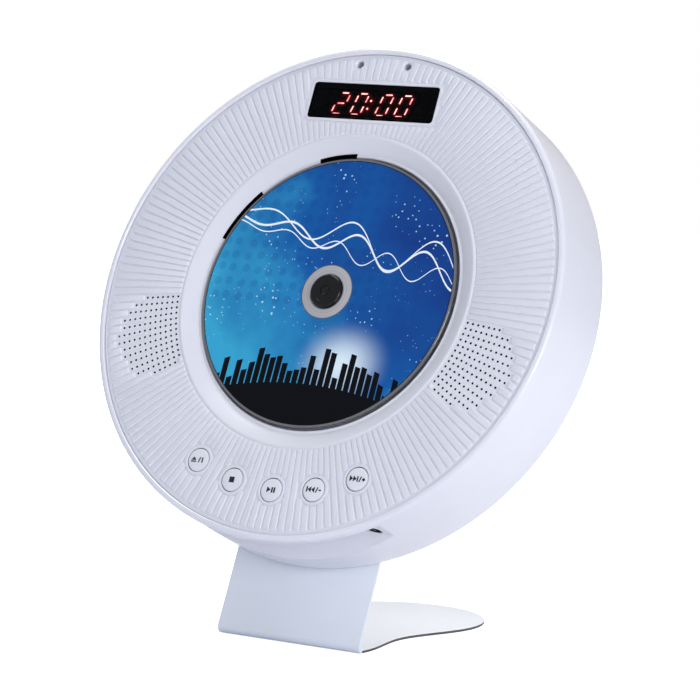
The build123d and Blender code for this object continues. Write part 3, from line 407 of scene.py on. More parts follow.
# ---- Drum --------------------------------------------------------------------------------------------
class PLAYER_OT_drum(bpy.types.Operator):
    """Round shell with its rolled rim, the hollow under it, keyholes, vents and screw wells"""
    bl_idname = "player.drum"
    bl_label = "Drum shell"

    def execute(self, context):
        size = context.scene.player_shell
        radius = size.radius / MM
        rim = size.rim_round / MM
        back = size.back_round / MM
        solid = bmesh.new()
        profile = [(0, 0)] + arc((radius - rim, -rim), rim, 90, 0, 8)
        profile += arc((radius - back, DRUM_BACK + back), back, 0, -90, 8) + [(0, DRUM_BACK)]
        turn(solid, profile, 256, closed=False)
        shell = carve(solid, self.inside(radius - 2.8), "drum")
        shell = carve(shell, self.holes(), "holes")
        self.wells(shell)
        piece = seat(shell, "drum_shell", [finish("moulded_gloss_abs", size.plastic)], "case")
        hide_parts("rear_housing")
        return {"FINISHED"}

    def prism(self, bm, side, half):
        """Solid across the drum on an outline of (y, z) points."""
        verts = [bm.verts.new((-half, y, z)) for y, z in side]
        made = bmesh.ops.extrude_face_region(bm, geom=[bm.faces.new(verts)])["geom"]
        bmesh.ops.translate(bm, verts=[v for v in made if isinstance(v, bmesh.types.BMVert)],
                            vec=(2 * half, 0, 0))

    def inside(self, inner):
        """Room in the drum, short of the walls round the finger hollow, and the hollow itself."""
        room = bmesh.new()
        turn(room, [(0, -38.6), (inner - 1.5, -38.6), (inner, -37.1), (inner, -3.9),
                    (inner - 1.2, -3.6), (inner - 1.2, -2.5), (inner, -2.5), (inner, -0.4),
                    (inner + 0.4, 0), (inner + 0.4, 1), (0, 1)], 256, closed=False)
        walls = bmesh.new()
        self.prism(walls, [(-120, PANEL_BACK), (ROOF_Y + 2, PANEL_BACK), (ROOF_Y + 2, -18.5),
                           (-107.5, -27.7), (-120, -27.7)], HOLLOW_HALF + 2)
        cutter = carve(room, walls, "room")
        self.prism(cutter, [(-118, -3.6), (ROOF_Y, -3.6), (ROOF_Y, -17.0), (-110, -25.5),
                            (-118, -25.5)], HOLLOW_HALF)
        return cutter

    def holes(self):
        """Keyholes, vents, screw wells and the two round holes in the hollow's roof."""
        cutter = bmesh.new()
        for x, y in KEYHOLES:
            neck = arc((x, y + 5), 2.2, 0, 180, 12)
            block(cutter, neck + arc((x, y - 4), 4.25, 121, 419, 40), DRUM_BACK - 1, -37)
        for sign in (-1, 1):
            for row in range(5):
                middle = (sign * 76, -34 + row * 6)
                block(cutter, [(x, y) for x, y, z in rounded_rectangle(24, 2, 0.99, 0, middle, 4)],
                      DRUM_BACK - 1, -37)
        for spot in POST_SPOTS:
            block(cutter, arc(spot, 3.4, 0, 352.5, 47), DRUM_BACK - 1, -37)
        for x, radius in JACKS:
            outline = [cutter.verts.new((x + a, ROOF_Y - 1, -13.0 + b))
                       for a, b in arc((0, 0), radius + 0.05, 0, 350, 35)]
            made = bmesh.ops.extrude_face_region(cutter, geom=[cutter.faces.new(outline)])["geom"]
            bmesh.ops.translate(cutter, verts=[v for v in made if isinstance(v, bmesh.types.BMVert)],
                                vec=(0, 4, 0))
        return cutter

    def wells(self, shell):
        """Tubes behind the screw wells, down to the screws' heads."""
        for spot in POST_SPOTS:
            turn(shell, [(3.4, -39.4), (4.5, -39.4), (4.5, -20.0), (1.7, -20.0), (1.7, -23.0),
                         (3.4, -23.0)], 32, spot)


# ---- Ribbed face -------------------------------------------------------------------------------------
class PLAYER_OT_face(bpy.types.Operator):
    """Ribbed front panel with the rounded lip of the disc well, grilles, collars and display frame"""
    bl_idname = "player.face"
    bl_label = "Ribbed face"

    def execute(self, context):
        size = context.scene.player_face
        bm = bmesh.new()
        profile = [(107.15, PANEL_BACK), (107.15, -1.55), (106.9, -1.4), (106.9, -1.3), (106.8, -1.08), (106.5, PANEL_FACE),
                   (70.1, PANEL_FACE), (69.8, -0.8), (69.4, -0.62), (69.0, -0.6)]
        radius, level = 69.0, -0.6
        for step in range(13):
            radius -= 0.6
            level -= 0.6 * math.tan(math.radians(25 + 1.25 * step))
            profile.append((radius, level))
            if radius < WELL_R + 1.7:
                break
        profile += [(WELL_R + 1.1, level + 0.1), (WELL_R + 0.8, level + 0.32),
                    (WELL_R + 0.45, level + 0.3), (WELL_R + 0.15, level), (WELL_R, level - 0.5),
                    (WELL_R, -9.0), (WELL_R + 3.8, -9.0), (WELL_R + 3.8, -6.0), (69.9, PANEL_BACK)]
        turn(bm, profile, 360)
        panel = carve(bm, self.cutter(), "face")
        self.ribs(panel, size)
        for x, y in BUTTON_SPOTS:
            turn(panel, [(5.3, -1.2), (5.3, -0.62), (5.45, -0.45), (5.75, RIB_TOP), (6.15, RIB_TOP),
                         (6.45, -0.5), (6.6, -0.75), (6.6, -1.2)], 48, (x, y))
        for spot in PEG_SPOTS:
            turn(panel, [(1.6, -2.35), (2.4, -2.35), (2.4, -6.0), (1.6, -6.0)], 24, spot)
        self.display_frame(panel)
        # painted shade: the walls of the gaps, grille holes and the well's slots take the black material
        self.paint_gap_shade(panel)
        piece = seat(panel, "ribbed_face", [finish("sparked_satin_abs", size.plastic),
                                            finish("black_reflector_and_gap_shade")], "case")
        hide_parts("front_panel")
        return {"FINISHED"}

    def paint_gap_shade(self, panel):
        """Painted shade: black for the walls of the gaps and grille holes, and for the inside of the
        well's slots, in place of the shadow that lies in them.
        """
        for face in panel.faces:
            middle = face.calc_center_median()
            radius = math.hypot(middle.x, middle.y)
            angle = math.degrees(math.atan2(middle.x, middle.y))
            upright = abs(face.normal.z) < 0.3
            through = -2.35 < middle.z < -1.1 and 70.2 < radius < 100.0
            in_slot = any(first - 0.2 < angle < first + sweep + 0.2 for first, sweep in WELL_SLOTS)
            slot_wall = WELL_R + 0.2 < radius < WELL_R + 3.2 and -8.3 < middle.z < -2.1
            if upright and through or in_slot and slot_wall and (upright or middle.z < -5.1):
                face.material_index = 1

    def cutter(self):
        """Everything that is cut out of the flat ring."""
        cutter = bmesh.new()
        for x, y in BUTTON_SPOTS:
            block(cutter, [(x + a, y + b) for a, b in arc((0, 0), 5.3, 0, 352.5, 47)], -3, 0)
        for x, y in PEG_SPOTS:
            turn(cutter, [(0, -3), (1.6, -3), (1.6, -1.9), (2.3, PANEL_FACE), (2.3, 0), (0, 0)], 24,
                 (x, y), closed=False)
        window = rounded_rectangle(WINDOW[0] + 0.2, WINDOW[1] + 0.2, WINDOW[2], 0, (0, WINDOW_Y))
        block(cutter, [(x, y) for x, y, z in window], -3, 0)
        for angle, first, last in GRILLE_LINES:
            for hole in range(first, last + 1):
                x, y = clock(GRILLE_FIRST + hole * GRILLE_STEP, angle)
                block(cutter, [(x + a, y + b) for a, b in arc((0, 0), 0.52, 0, 324, 9)], -3, 0)
        for first, sweep in WELL_SLOTS:
            section = [(WELL_R - 1, -2.0), (WELL_R + 1.9, -2.0), (WELL_R + 1.9, -5.2),
                       (WELL_R + 3, -5.2), (WELL_R + 3, -8.2), (WELL_R - 1, -8.2)]
            across, up = clock(1, first)
            verts = [cutter.verts.new((r * across, r * up, z)) for r, z in section]
            bmesh.ops.spin(cutter, geom=[cutter.faces.new(verts)], cent=(0, 0, 0), axis=(0, 0, 1),
                           angle=-math.radians(sweep), steps=12, use_duplicate=False)
        return cutter

    def spans(self, angle):
        """Stretches of the rib at this clock angle, cut short of what is set into the face."""
        gaps = [(GRILLE_FIRST + first * GRILLE_STEP - 1.4, GRILLE_FIRST + last * GRILLE_STEP + 1.4)
                for line, first, last in GRILLE_LINES if abs(line - angle) < 0.5]
        across, up = clock(1, angle)
        rounds = [(spot, COLLAR_R + 0.3) for spot in BUTTON_SPOTS] + [(spot, 3.0) for spot in PEG_SPOTS]
        for (x, y), reach in rounds:
            along = x * across + y * up
            aside = abs(x * up - y * across)
            if along > 0 and aside < reach:
                half = math.sqrt(reach ** 2 - aside ** 2)
                gaps.append((along - half, along + half))
        half_w = WINDOW[0] / 2 + FRAME_W + 0.5
        half_h = WINDOW[1] / 2 + FRAME_W + 0.5
        if up > 0.5:
            low = (WINDOW_Y - half_h) / up
            high = min((WINDOW_Y + half_h) / up, half_w / max(abs(across), 1e-6))
            if high > low:
                gaps.append((low, high))
        spans = []
        begin = 70.3
        for low, high in sorted(gaps):
            if low - begin > 1.5:
                spans.append((begin, low))
            begin = max(begin, high)
        if 105.4 - begin > 1.5:
            spans.append((begin, 105.4))
        return spans

    def ribs(self, bm, size):
        """Rounded ribs, each a closed strip with sloping ends."""
        pitch = 360 / size.rib_count
        section = ((-1.0, -0.08), (-0.96, 0.5), (-0.8, 0.9), (0.0, 1.0), (0.8, 0.9),
                   (0.96, 0.5), (1.0, -0.08))
        ends = ((0.0, 0.0), (0.35, 0.62), (0.9, 1.0))
        strip = []
        for rib in range(size.rib_count):
            angle = (rib + 0.5) * pitch
            for low, high in self.spans(angle):
                rows = [(low + a, h) for a, h in ends] + [(high - a, h) for a, h in reversed(ends)]
                made = bmesh.ops.create_grid(bm, x_segments=len(section) - 1,
                                             y_segments=len(rows) - 1, size=1)
                for i, vert in enumerate(made["verts"]):
                    radius, height = rows[i // len(section)]
                    side, lift = section[i % len(section)]
                    x, y = clock(radius, angle + side * pitch * size.rib_share / 2)
                    level = PANEL_FACE - 0.05 + max(lift, 0) * height * (RIB_TOP - PANEL_FACE + 0.05)
                    vert.co = (x, y, level + min(lift, 0))
                strip += made["verts"]
        edges = {edge for vert in strip for edge in vert.link_edges if edge.is_boundary}
        bmesh.ops.holes_fill(bm, edges=list(edges), sides=0)

    def display_frame(self, bm):
        """Raised rounded frame round the display."""
        loops = []
        for grow, z in ((0.1, -1.3), (0.1, -0.55), (0.25, RIB_TOP), (FRAME_W - 0.3, RIB_TOP),
                        (FRAME_W - 0.05, -0.6), (FRAME_W, -1.2)):
            points = rounded_rectangle(WINDOW[0] + 2 * grow, WINDOW[1] + 2 * grow, WINDOW[2] + grow, z,
                                       (0, WINDOW_Y))
            loops.append(chain(bm, points, True)[1])
        for first, second in zip(loops, loops[1:] + loops[:1]):
            bmesh.ops.bridge_loops(bm, edges=first + second)


# ---- Display -----------------------------------------------------------------------------------------
SIGN = 1.3                  # size of the printed signs
SEGMENTS = {"0": "abcdef", "1": "bc", "2": "abged", "3": "abgcd", "4": "fgbc", "5": "afgcd",
            "6": "afgedc", "7": "abc", "8": "abcdefg", "9": "abcdfg"}


class PLAYER_OT_display(bpy.types.Operator):
    """Smoked window, black display module and its lit segments"""
    bl_idname = "player.display"
    bl_label = "Display"

    def execute(self, context):
        size = context.scene.player_display
        bm = bmesh.new()
        loops = []
        for inset, z in ((0.0, -2.0), (0.0, -0.75), (0.12, -0.62), (0.4, -0.6)):
            points = rounded_rectangle(WINDOW[0] - 2 * inset, WINDOW[1] - 2 * inset,
                                       max(WINDOW[2] - 0.1 - inset, 0.3), z, (0, WINDOW_Y))
            loops.append(chain(bm, points, True)[1])
        for first, second in zip(loops, loops[1:]):
            bmesh.ops.bridge_loops(bm, edges=first + second)
        bmesh.ops.holes_fill(bm, edges=[e for e in bm.edges if e.is_boundary], sides=0)
        pane = seat(bm, "display_pane", [self.smoked_acrylic()], "case")
        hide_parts("display_window")
        dress(finish("black_reflector_and_gap_shade"), "led_display")
        dress(finish("moulded_epoxy"), "ir_receiver")
        self.digits(size)
        return {"FINISHED"}

    def smoked_acrylic(self):
        # cast acrylic, tinted almost black: a clean mirror gloss over darkness
        material, tree, shader, place = start("smoked_acrylic")
        smear = add(tree, "ShaderNodeTexNoise", inputs={"Vector": place, "Scale": 1000 / 14,
                                                         "Detail": 3.0})
        gloss = add(tree, "ShaderNodeMapRange", inputs={0: smear.outputs[0], 1: 0.3, 2: 0.7, 3: 0.05,
                                                         4: 0.11})
        tree.links.new(gloss.outputs[0], shader.inputs["Roughness"])
        shader.inputs["Base Color"].default_value = srgb("#050507")
        shader.inputs["IOR"].default_value = 1.49
        shader.inputs["Alpha"].default_value = 0.74
        shader.inputs["Specular IOR Level"].default_value = 0.05
        return material

    def digits(self, size):
        """Slanted seven segment digits and a colon."""
        tall = size.digit_height / MM
        wide = tall * 0.53
        thick = tall * 0.058
        slant = 0.25
        bm = bmesh.new()
        half = tall / 2
        ends = {"a": ((0, tall), (wide, tall)), "b": ((wide, half), (wide, tall)),
                "c": ((wide, 0), (wide, half)), "d": ((0, 0), (wide, 0)), "e": ((0, 0), (0, half)),
                "f": ((0, half), (0, tall)), "g": ((0, half), (wide, half))}
        lows = (-20.6, -11.3, 1.0, 10.4)
        for low, digit in zip(lows, size.digits):
            for segment in SEGMENTS[digit]:
                (x0, y0), (x1, y1) = ends[segment]
                run = Vector((x1 - x0, y1 - y0)).normalized()
                side = Vector((-run.y, run.x)) * thick / 2
                first = Vector((x0, y0)) + run * thick * 2.0
                last = Vector((x1, y1)) - run * thick * 2.0
                for index, (grow, level) in enumerate(((1.0, -2.4), (2.6, -2.5), (5.6, -2.6))):
                    lead = run * thick * 0.35 * grow
                    points = [first - lead, first + side * grow, last + side * grow, last + lead,
                              last - side * grow, first - side * grow]
                    block(bm, [(low + p.x + slant * p.y, WINDOW_Y - half - 0.4 + p.y)
                               for p in points], -2.85, level, index)
        for y in (tall * 0.3, tall * 0.68):
            middle = (-3.9 + slant * y, WINDOW_Y - half - 0.4 + y)
            for index, (radius, level) in enumerate(((0.46, -2.4), (0.9, -2.5), (1.7, -2.6))):
                block(bm, [(middle[0] + a, middle[1] + b)
                           for a, b in arc((0, 0), radius, 0, 337.5, 15)], -2.85, level, index)
        piece = seat(bm, "lit_digits", [self.lit_segment(size), self.red_bleed("near_red_bleed", 2.4),
                                        self.red_bleed("far_red_bleed", 0.8)], "case")

    def lit_segment(self, size):
        # diffused red LED bars: hot orange where the chip sits, deep red at the edges
        material, tree, shader, place = start("lit_led_segment")
        spots = add(tree, "ShaderNodeTexNoise", inputs={"Vector": place, "Scale": 1000 / 2.4,
                                                         "Detail": 1.0})
        tint = ramp(tree, spots.outputs[0], [(0.38, srgb("#E0777C")), (0.62, srgb("#FFB9B4"))])
        tree.links.new(tint, shader.inputs["Emission Color"])
        shader.inputs["Emission Strength"].default_value = size.glow
        shader.inputs["Base Color"].default_value = srgb(size.lit)
        shader.inputs["Roughness"].default_value = 0.5
        return material

    def red_bleed(self, name, strength):
        # light that leaks into the black reflector round each bar: deep red, uneven
        material, tree, shader, place = start(name)
        grain(tree, shader, place, (srgb("#2A0504"), srgb("#3A0806")), 4, 0.4, 0.002, (0.45, 0.6))
        shader.inputs["Emission Color"].default_value = srgb("#C4140E")
        shader.inputs["Emission Strength"].default_value = strength
        return material


# ---- Buttons -----------------------------------------------------------------------------------------
class PLAYER_OT_buttons(bpy.types.Operator):
    """Five round caps with their printed signs"""
    bl_idname = "player.buttons"
    bl_label = "Buttons"

    def execute(self, context):
        size = context.scene.player_face
        cap = size.button_radius / MM
        ink = self.pad_print_ink(size)
        for name, (x, y) in zip(BUTTONS, BUTTON_SPOTS):
            bm = bmesh.new()
            turn(bm, [(0, -0.22), (2.5, -0.235), (cap - 0.9, -0.3), (cap - 0.35, -0.42),
                      (cap - 0.08, -0.68), (cap, -1.0), (cap, -2.42), (cap + 0.7, -2.42),
                      (cap + 0.7, -3.3), (1.8, -3.3), (1.8, -4.3), (0, -4.3)], 64, (x, y),
                 closed=False)
            piece = seat(bm, name + "_cap", [finish("moulded_gloss_abs")], name + "_button")
            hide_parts("button_" + name)
            bm = bmesh.new()
            for outline in self.sign(name):
                block(bm, [(x + a * SIGN, y + b * SIGN) for a, b in outline], -0.3, -0.2)
            print_piece = seat(bm, name + "_sign", [ink], name + "_button")
        return {"FINISHED"}

    def pad_print_ink(self, size):
        # pad printed ink: thin, black, slightly duller than the cap
        material, tree, shader, place = start("pad_print_ink")
        grain(tree, shader, place, (near(size.ink, 0.8), near(size.ink, 1.3)), 3, 0.3, 0.002,
              (0.4, 0.55))
        return material

    def sign(self, name):
        """Outlines of the printed sign, in millimetres about the cap's middle."""
        def bar(x, width=0.6, tall=1.8, y=0.0):
            return [(x, y - tall / 2), (x + width, y - tall / 2), (x + width, y + tall / 2),
                    (x, y + tall / 2)]

        def wedge(x, width, tall=2.0):
            return [(x, -tall / 2), (x + width, 0), (x, tall / 2)]

        slash = [(0.85, -0.9), (1.3, -0.9), (1.8, 0.9), (1.35, 0.9)]
        if name == "stop":
            return [bar(-0.95, 1.9, 1.9)]
        if name == "play":
            return [wedge(-1.5, 1.45), bar(0.15), bar(1.0)]
        if name == "previous":
            return [bar(-2.5, 0.5), wedge(-0.75, -1.25), wedge(0.55, -1.25), slash,
                    bar(2.0, 0.9, 0.45)]
        if name == "next":
            return [wedge(-2.5, 1.25), wedge(-1.2, 1.25), bar(0.1, 0.5), slash,
                    bar(2.0, 1.1, 0.45), bar(2.325, 0.45, 1.1)]
        return [[(-2.5, -0.25), (-0.6, -0.25), (-1.55, 0.95)], bar(-2.5, 1.9, 0.45, -0.68),
                [(x - 0.8, y) for x, y in slash], bar(1.4, 0.5, 1.8)]


# ---- Disc --------------------------------------------------------------------------------------------
class PLAYER_OT_disc(bpy.types.Operator):
    """Printed disc with its clear hub and metal edge"""
    bl_idname = "player.disc"
    bl_label = "Disc"

    def execute(self, context):
        size = context.scene.player_disc
        edge = size.print_radius / MM
        hub = size.hub_radius / MM
        bm = bmesh.new()
        profile = [(7.55, DISC_UNDER + 0.1), (7.65, DISC_UNDER), (16.6, DISC_UNDER),
                   (16.8, DISC_UNDER - 0.18), (17.6, DISC_UNDER - 0.18), (17.8, DISC_UNDER),
                   (59.85, DISC_UNDER), (60.0, DISC_UNDER + 0.15), (60.0, DISC_TOP - 0.15),
                   (59.85, DISC_TOP), (edge, DISC_TOP), (35.0, DISC_TOP), (hub, DISC_TOP),
                   (hub - 0.12, DISC_TOP - 0.06), (hub - 0.4, DISC_TOP - 0.06),
                   (hub - 0.5, DISC_TOP), (7.65, DISC_TOP), (7.55, DISC_TOP - 0.1)]
        turn(bm, profile, 256)
        bmesh.ops.remove_doubles(bm, verts=bm.verts[:], dist=0.0004)
        for face in bm.faces:
            middle = face.calc_center_median()
            radius = math.hypot(middle.x, middle.y)
            if middle.z > DISC_TOP - 0.02 and hub < radius < edge:
                face.material_index = 1
            elif radius < hub + 0.1:
                face.material_index = 2
        piece = seat(bm, "printed_disc", [finish("polycarbonate_edge"), self.disc_print(size),
                                          self.hub_rings(size)], "disc")
        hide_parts("compact_disc")
        return {"FINISHED"}

    def hub_rings(self, size):
        # clear polycarbonate hub: smooth; the tint by radius paints lighter fine lines, painted highlights
        # for moulded rings that catch the light, and turns darker towards the inner and outer edges
        material, tree, shader, place = start("clear_polycarbonate_hub")
        on_face = add(tree, "ShaderNodeMapping", {"vector_type": "TEXTURE"},
                      {0: place, 1: tuple(CENTRE), 2: (math.pi / 2 - LEAN, 0, 0), 3: (MM, MM, MM)})
        flat = add(tree, "ShaderNodeVectorMath", {"operation": "MULTIPLY"},
                   {0: on_face.outputs[0], 1: (1.0, 1.0, 0.0)})
        radius = add(tree, "ShaderNodeVectorMath", {"operation": "LENGTH"}, {0: flat.outputs[0]})
        hub = size.hub_radius / MM
        share = add(tree, "ShaderNodeMapRange", inputs={0: radius.outputs["Value"], 1: 7.5, 2: hub})
        tint = ramp(tree, share.outputs[0],
                    [(0.0, srgb("#4A4A4C")), (0.08, srgb("#8C8B8E")), (0.2, srgb("#B9B8BA")),
                     (0.5, srgb("#A8A7A9")), (0.55, srgb("#C3C2C4")), (0.62, srgb("#ABAAAC")),
                     (0.86, srgb("#B4B3B6")), (0.93, srgb("#77777A")), (1.0, srgb("#2C3236"))])
        tree.links.new(tint, shader.inputs["Base Color"])
        smear = add(tree, "ShaderNodeTexNoise", inputs={"Vector": place, "Scale": 1000 / 5,
                                                         "Detail": 3.0})
        gloss = add(tree, "ShaderNodeMapRange", inputs={0: smear.outputs[0], 1: 0.3, 2: 0.7, 3: 0.1,
                                                         4: 0.16})
        tree.links.new(gloss.outputs[0], shader.inputs["Roughness"])
        shader.inputs["IOR"].default_value = 1.585
        return material

    def disc_print(self, size):
        # screen printed lacquer over the metal layer: smooth, glossy, flat areas of ink
        material, tree, shader, place = start("screen_printed_lacquer")

        def maths(operation, first, second=0.0, third=0.0, clamp=False):
            return add(tree, "ShaderNodeMath", {"operation": operation, "use_clamp": clamp},
                       {0: first, 1: second, 2: third}).outputs[0]

        def over(under, ink, mask):
            return add(tree, "ShaderNodeMix", {"data_type": "RGBA"},
                       {0: mask, 6: under, 7: ink}).outputs[2]

        on_face = add(tree, "ShaderNodeMapping", {"vector_type": "TEXTURE"},
                      {0: place, 1: tuple(CENTRE), 2: (math.pi / 2 - LEAN, 0, 0), 3: (MM, MM, MM)})
        split = add(tree, "ShaderNodeSeparateXYZ", inputs={0: on_face.outputs[0]})
        x, y = split.outputs[0], split.outputs[1]
        flat = add(tree, "ShaderNodeCombineXYZ", inputs={0: x, 1: y})
        # sky: light at the left, dark at the upper right, with a soft cloudiness
        cloud = add(tree, "ShaderNodeTexNoise", {"noise_dimensions": "2D"},
                    {"Vector": on_face.outputs[0], "Scale": 0.03, "Detail": 3.0}).outputs[0]
        across = maths("MULTIPLY_ADD", x, 0.0062, 0.42)
        across = maths("MULTIPLY_ADD", y, 0.0040, across)
        across = maths("MULTIPLY_ADD", maths("SUBTRACT", cloud, 0.5), 0.55, across)
        tone = ramp(tree, across, [(0.06, srgb(size.light)), (0.45, srgb(size.mid)),
                                   (0.95, srgb(size.dark))])
        # large pale halftone dots, and small bright sparks
        dots = add(tree, "ShaderNodeTexVoronoi", {"voronoi_dimensions": "2D"},
                   {"Vector": on_face.outputs[0], "Scale": 1 / 6.2, "Randomness": 0.25})
        dot = maths("LESS_THAN", dots.outputs["Distance"], 0.3)
        band = maths("MULTIPLY", maths("GREATER_THAN", y, -8.0), 0.22)
        tone = over(tone, srgb("#12408F"), maths("MULTIPLY", dot, band))
        sparks = add(tree, "ShaderNodeTexVoronoi", {"voronoi_dimensions": "2D"},
                     {"Vector": on_face.outputs[0], "Scale": 1 / 4.0, "Randomness": 1.0})
        drift = add(tree, "ShaderNodeTexNoise", {"noise_dimensions": "2D"},
                    {"Vector": on_face.outputs[0], "Scale": 0.05, "Detail": 1.0}).outputs[0]
        spark = maths("LESS_THAN", sparks.outputs["Distance"],
                      maths("MULTIPLY_ADD", maths("SUBTRACT", drift, 0.5), 0.34, 0.02))
        tone = over(tone, srgb("#BFEAF8"), maths("MULTIPLY", spark, 0.8))
        # glow low on the right
        away_x = maths("MULTIPLY", maths("SUBTRACT", x, 16.0), 1 / 25)
        away_y = maths("MULTIPLY", maths("SUBTRACT", y, -31.0), 1 / 21)
        away = maths("ADD", maths("MULTIPLY", away_x, away_x), maths("MULTIPLY", away_y, away_y))
        glow = maths("SUBTRACT", 1.0, away, clamp=True)
        tone = over(tone, srgb("#E9FAFF"), maths("MULTIPLY", maths("POWER", glow, 2.6), 0.95))
        # three fine waves that cross the upper left
        for index, (height, swing, length) in enumerate(((22.0, 6.5, 17.0), (25.0, 9.0, 21.0),
                                                         (19.0, 4.5, 13.0))):
            fade = maths("MULTIPLY_ADD", x, 0.011, 0.75, clamp=True)
            wave = maths("SINE", maths("MULTIPLY_ADD", x, 2 * math.pi / (length * 2), index * 0.9))
            wave = maths("MULTIPLY_ADD", maths("MULTIPLY", wave, fade), swing, height)
            wave = maths("MULTIPLY_ADD", x, -0.18, wave)
            line = maths("LESS_THAN", maths("ABSOLUTE", maths("SUBTRACT", y, wave)),
                         0.5 - index * 0.12)
            tone = over(tone, srgb("#F4FBFF"), line)
        # black bars like a level meter along the bottom, on a low rounded hill
        step = maths("FLOOR", maths("MULTIPLY", x, 1 / 3.2))
        level = add(tree, "ShaderNodeTexWhiteNoise", {"noise_dimensions": "1D"}, {"W": step}).outputs[0]
        middle = maths("MULTIPLY_ADD", maths("MULTIPLY", x, x), -0.0052, -27.0)
        top = maths("MULTIPLY_ADD", level, 13.0, maths("SUBTRACT", middle, 9.0))
        gap = maths("FRACT", maths("MULTIPLY", x, 1 / 3.2))
        inside = maths("MULTIPLY", maths("GREATER_THAN", gap, 0.16), maths("LESS_THAN", y, top))
        ground = maths("LESS_THAN", y, maths("MULTIPLY_ADD", maths("MULTIPLY", x, x), -0.003, -41.0))
        tone = over(tone, srgb("#07090F"), maths("MAXIMUM", inside, ground))
        border = maths("GREATER_THAN", add(tree, "ShaderNodeVectorMath", {"operation": "LENGTH"},
                                           {0: flat.outputs[0]}).outputs["Value"], 58.7)
        tone = over(tone, srgb("#07090F"), border)
        tree.links.new(tone, shader.inputs["Base Color"])
        fine = add(tree, "ShaderNodeTexNoise", inputs={"Vector": place, "Scale": 1000 / 1.2,
                                                        "Detail": 2.0})
        gloss = add(tree, "ShaderNodeMapRange", inputs={0: fine.outputs[0], 1: 0.3, 2: 0.7, 3: 0.28,
                                                         4: 0.36})
        tree.links.new(gloss.outputs[0], shader.inputs["Roughness"])
        shader.inputs["IOR"].default_value = 1.5
        shader.inputs["Specular IOR Level"].default_value = 0.1
        return material


# ---- Turntable ---------------------------------------------------------------------------------------
class PLAYER_OT_turntable(bpy.types.Operator):
    """Turntable with its chuck, sprung claws, mat and shaft"""
    bl_idname = "player.turntable"
    bl_label = "Turntable"

    def execute(self, context):
        acetal = finish("black_acetal")
        bm = bmesh.new()
        turn(bm, [(0, -2.5), (1.1, -2.5), (1.5, -2.2), (2.2, -2.15), (2.4, -1.75), (4.9, -1.65),
                  (5.1, -1.5), (5.5, -1.45), (6.5, -1.6), (7.1, -1.95), (7.4, -2.5), (7.4, -4.4),
                  (9, -4.4), (9, -4.9), (13.3, -4.9), (13.6, -5.1), (13.6, -7.0), (13.3, -7.25),
                  (4, -8.2), (4, -13.8), (3.8, -14), (0, -14)], 96, closed=False)
        for step in range(6):
            x, y = clock(3.7, step * 60 + 20)
            made = bmesh.ops.create_icosphere(bm, subdivisions=2, radius=0.42)
            bmesh.ops.translate(bm, verts=made["verts"], vec=(x, y, -1.68))
        piece = seat(bm, "turntable_hub", [acetal], "spindle")
        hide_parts("turntable")
        bm = bmesh.new()
        for step in range(3):
            made = bmesh.ops.create_cube(bm, size=1)
            bmesh.ops.scale(bm, verts=made["verts"], vec=(2.4, 2.6, 2.3))
            edges = list({edge for vert in made["verts"] for edge in vert.link_edges})
            bent = bmesh.ops.bevel(bm, geom=edges, offset=0.5, segments=3, affect="EDGES",
                                   profile=0.5, material=-1)
            verts = list({vert for face in bent["faces"] for vert in face.verts})
            bmesh.ops.translate(bm, verts=verts, vec=(0, 6.2, -3.0))
            bmesh.ops.rotate(bm, verts=verts, cent=(0, 0, 0),
                             matrix=Matrix.Rotation(math.radians(step * 120), 3, "Z"))
        piece = seat(bm, "chuck_jaws", [finish("sparked_black_abs")], "spindle")
        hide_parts("chuck_claws")
        dress(finish("silicone_mat"), "turntable_mat")
        dress(finish("ground_steel"), "spindle_shaft")
        return {"FINISHED"}


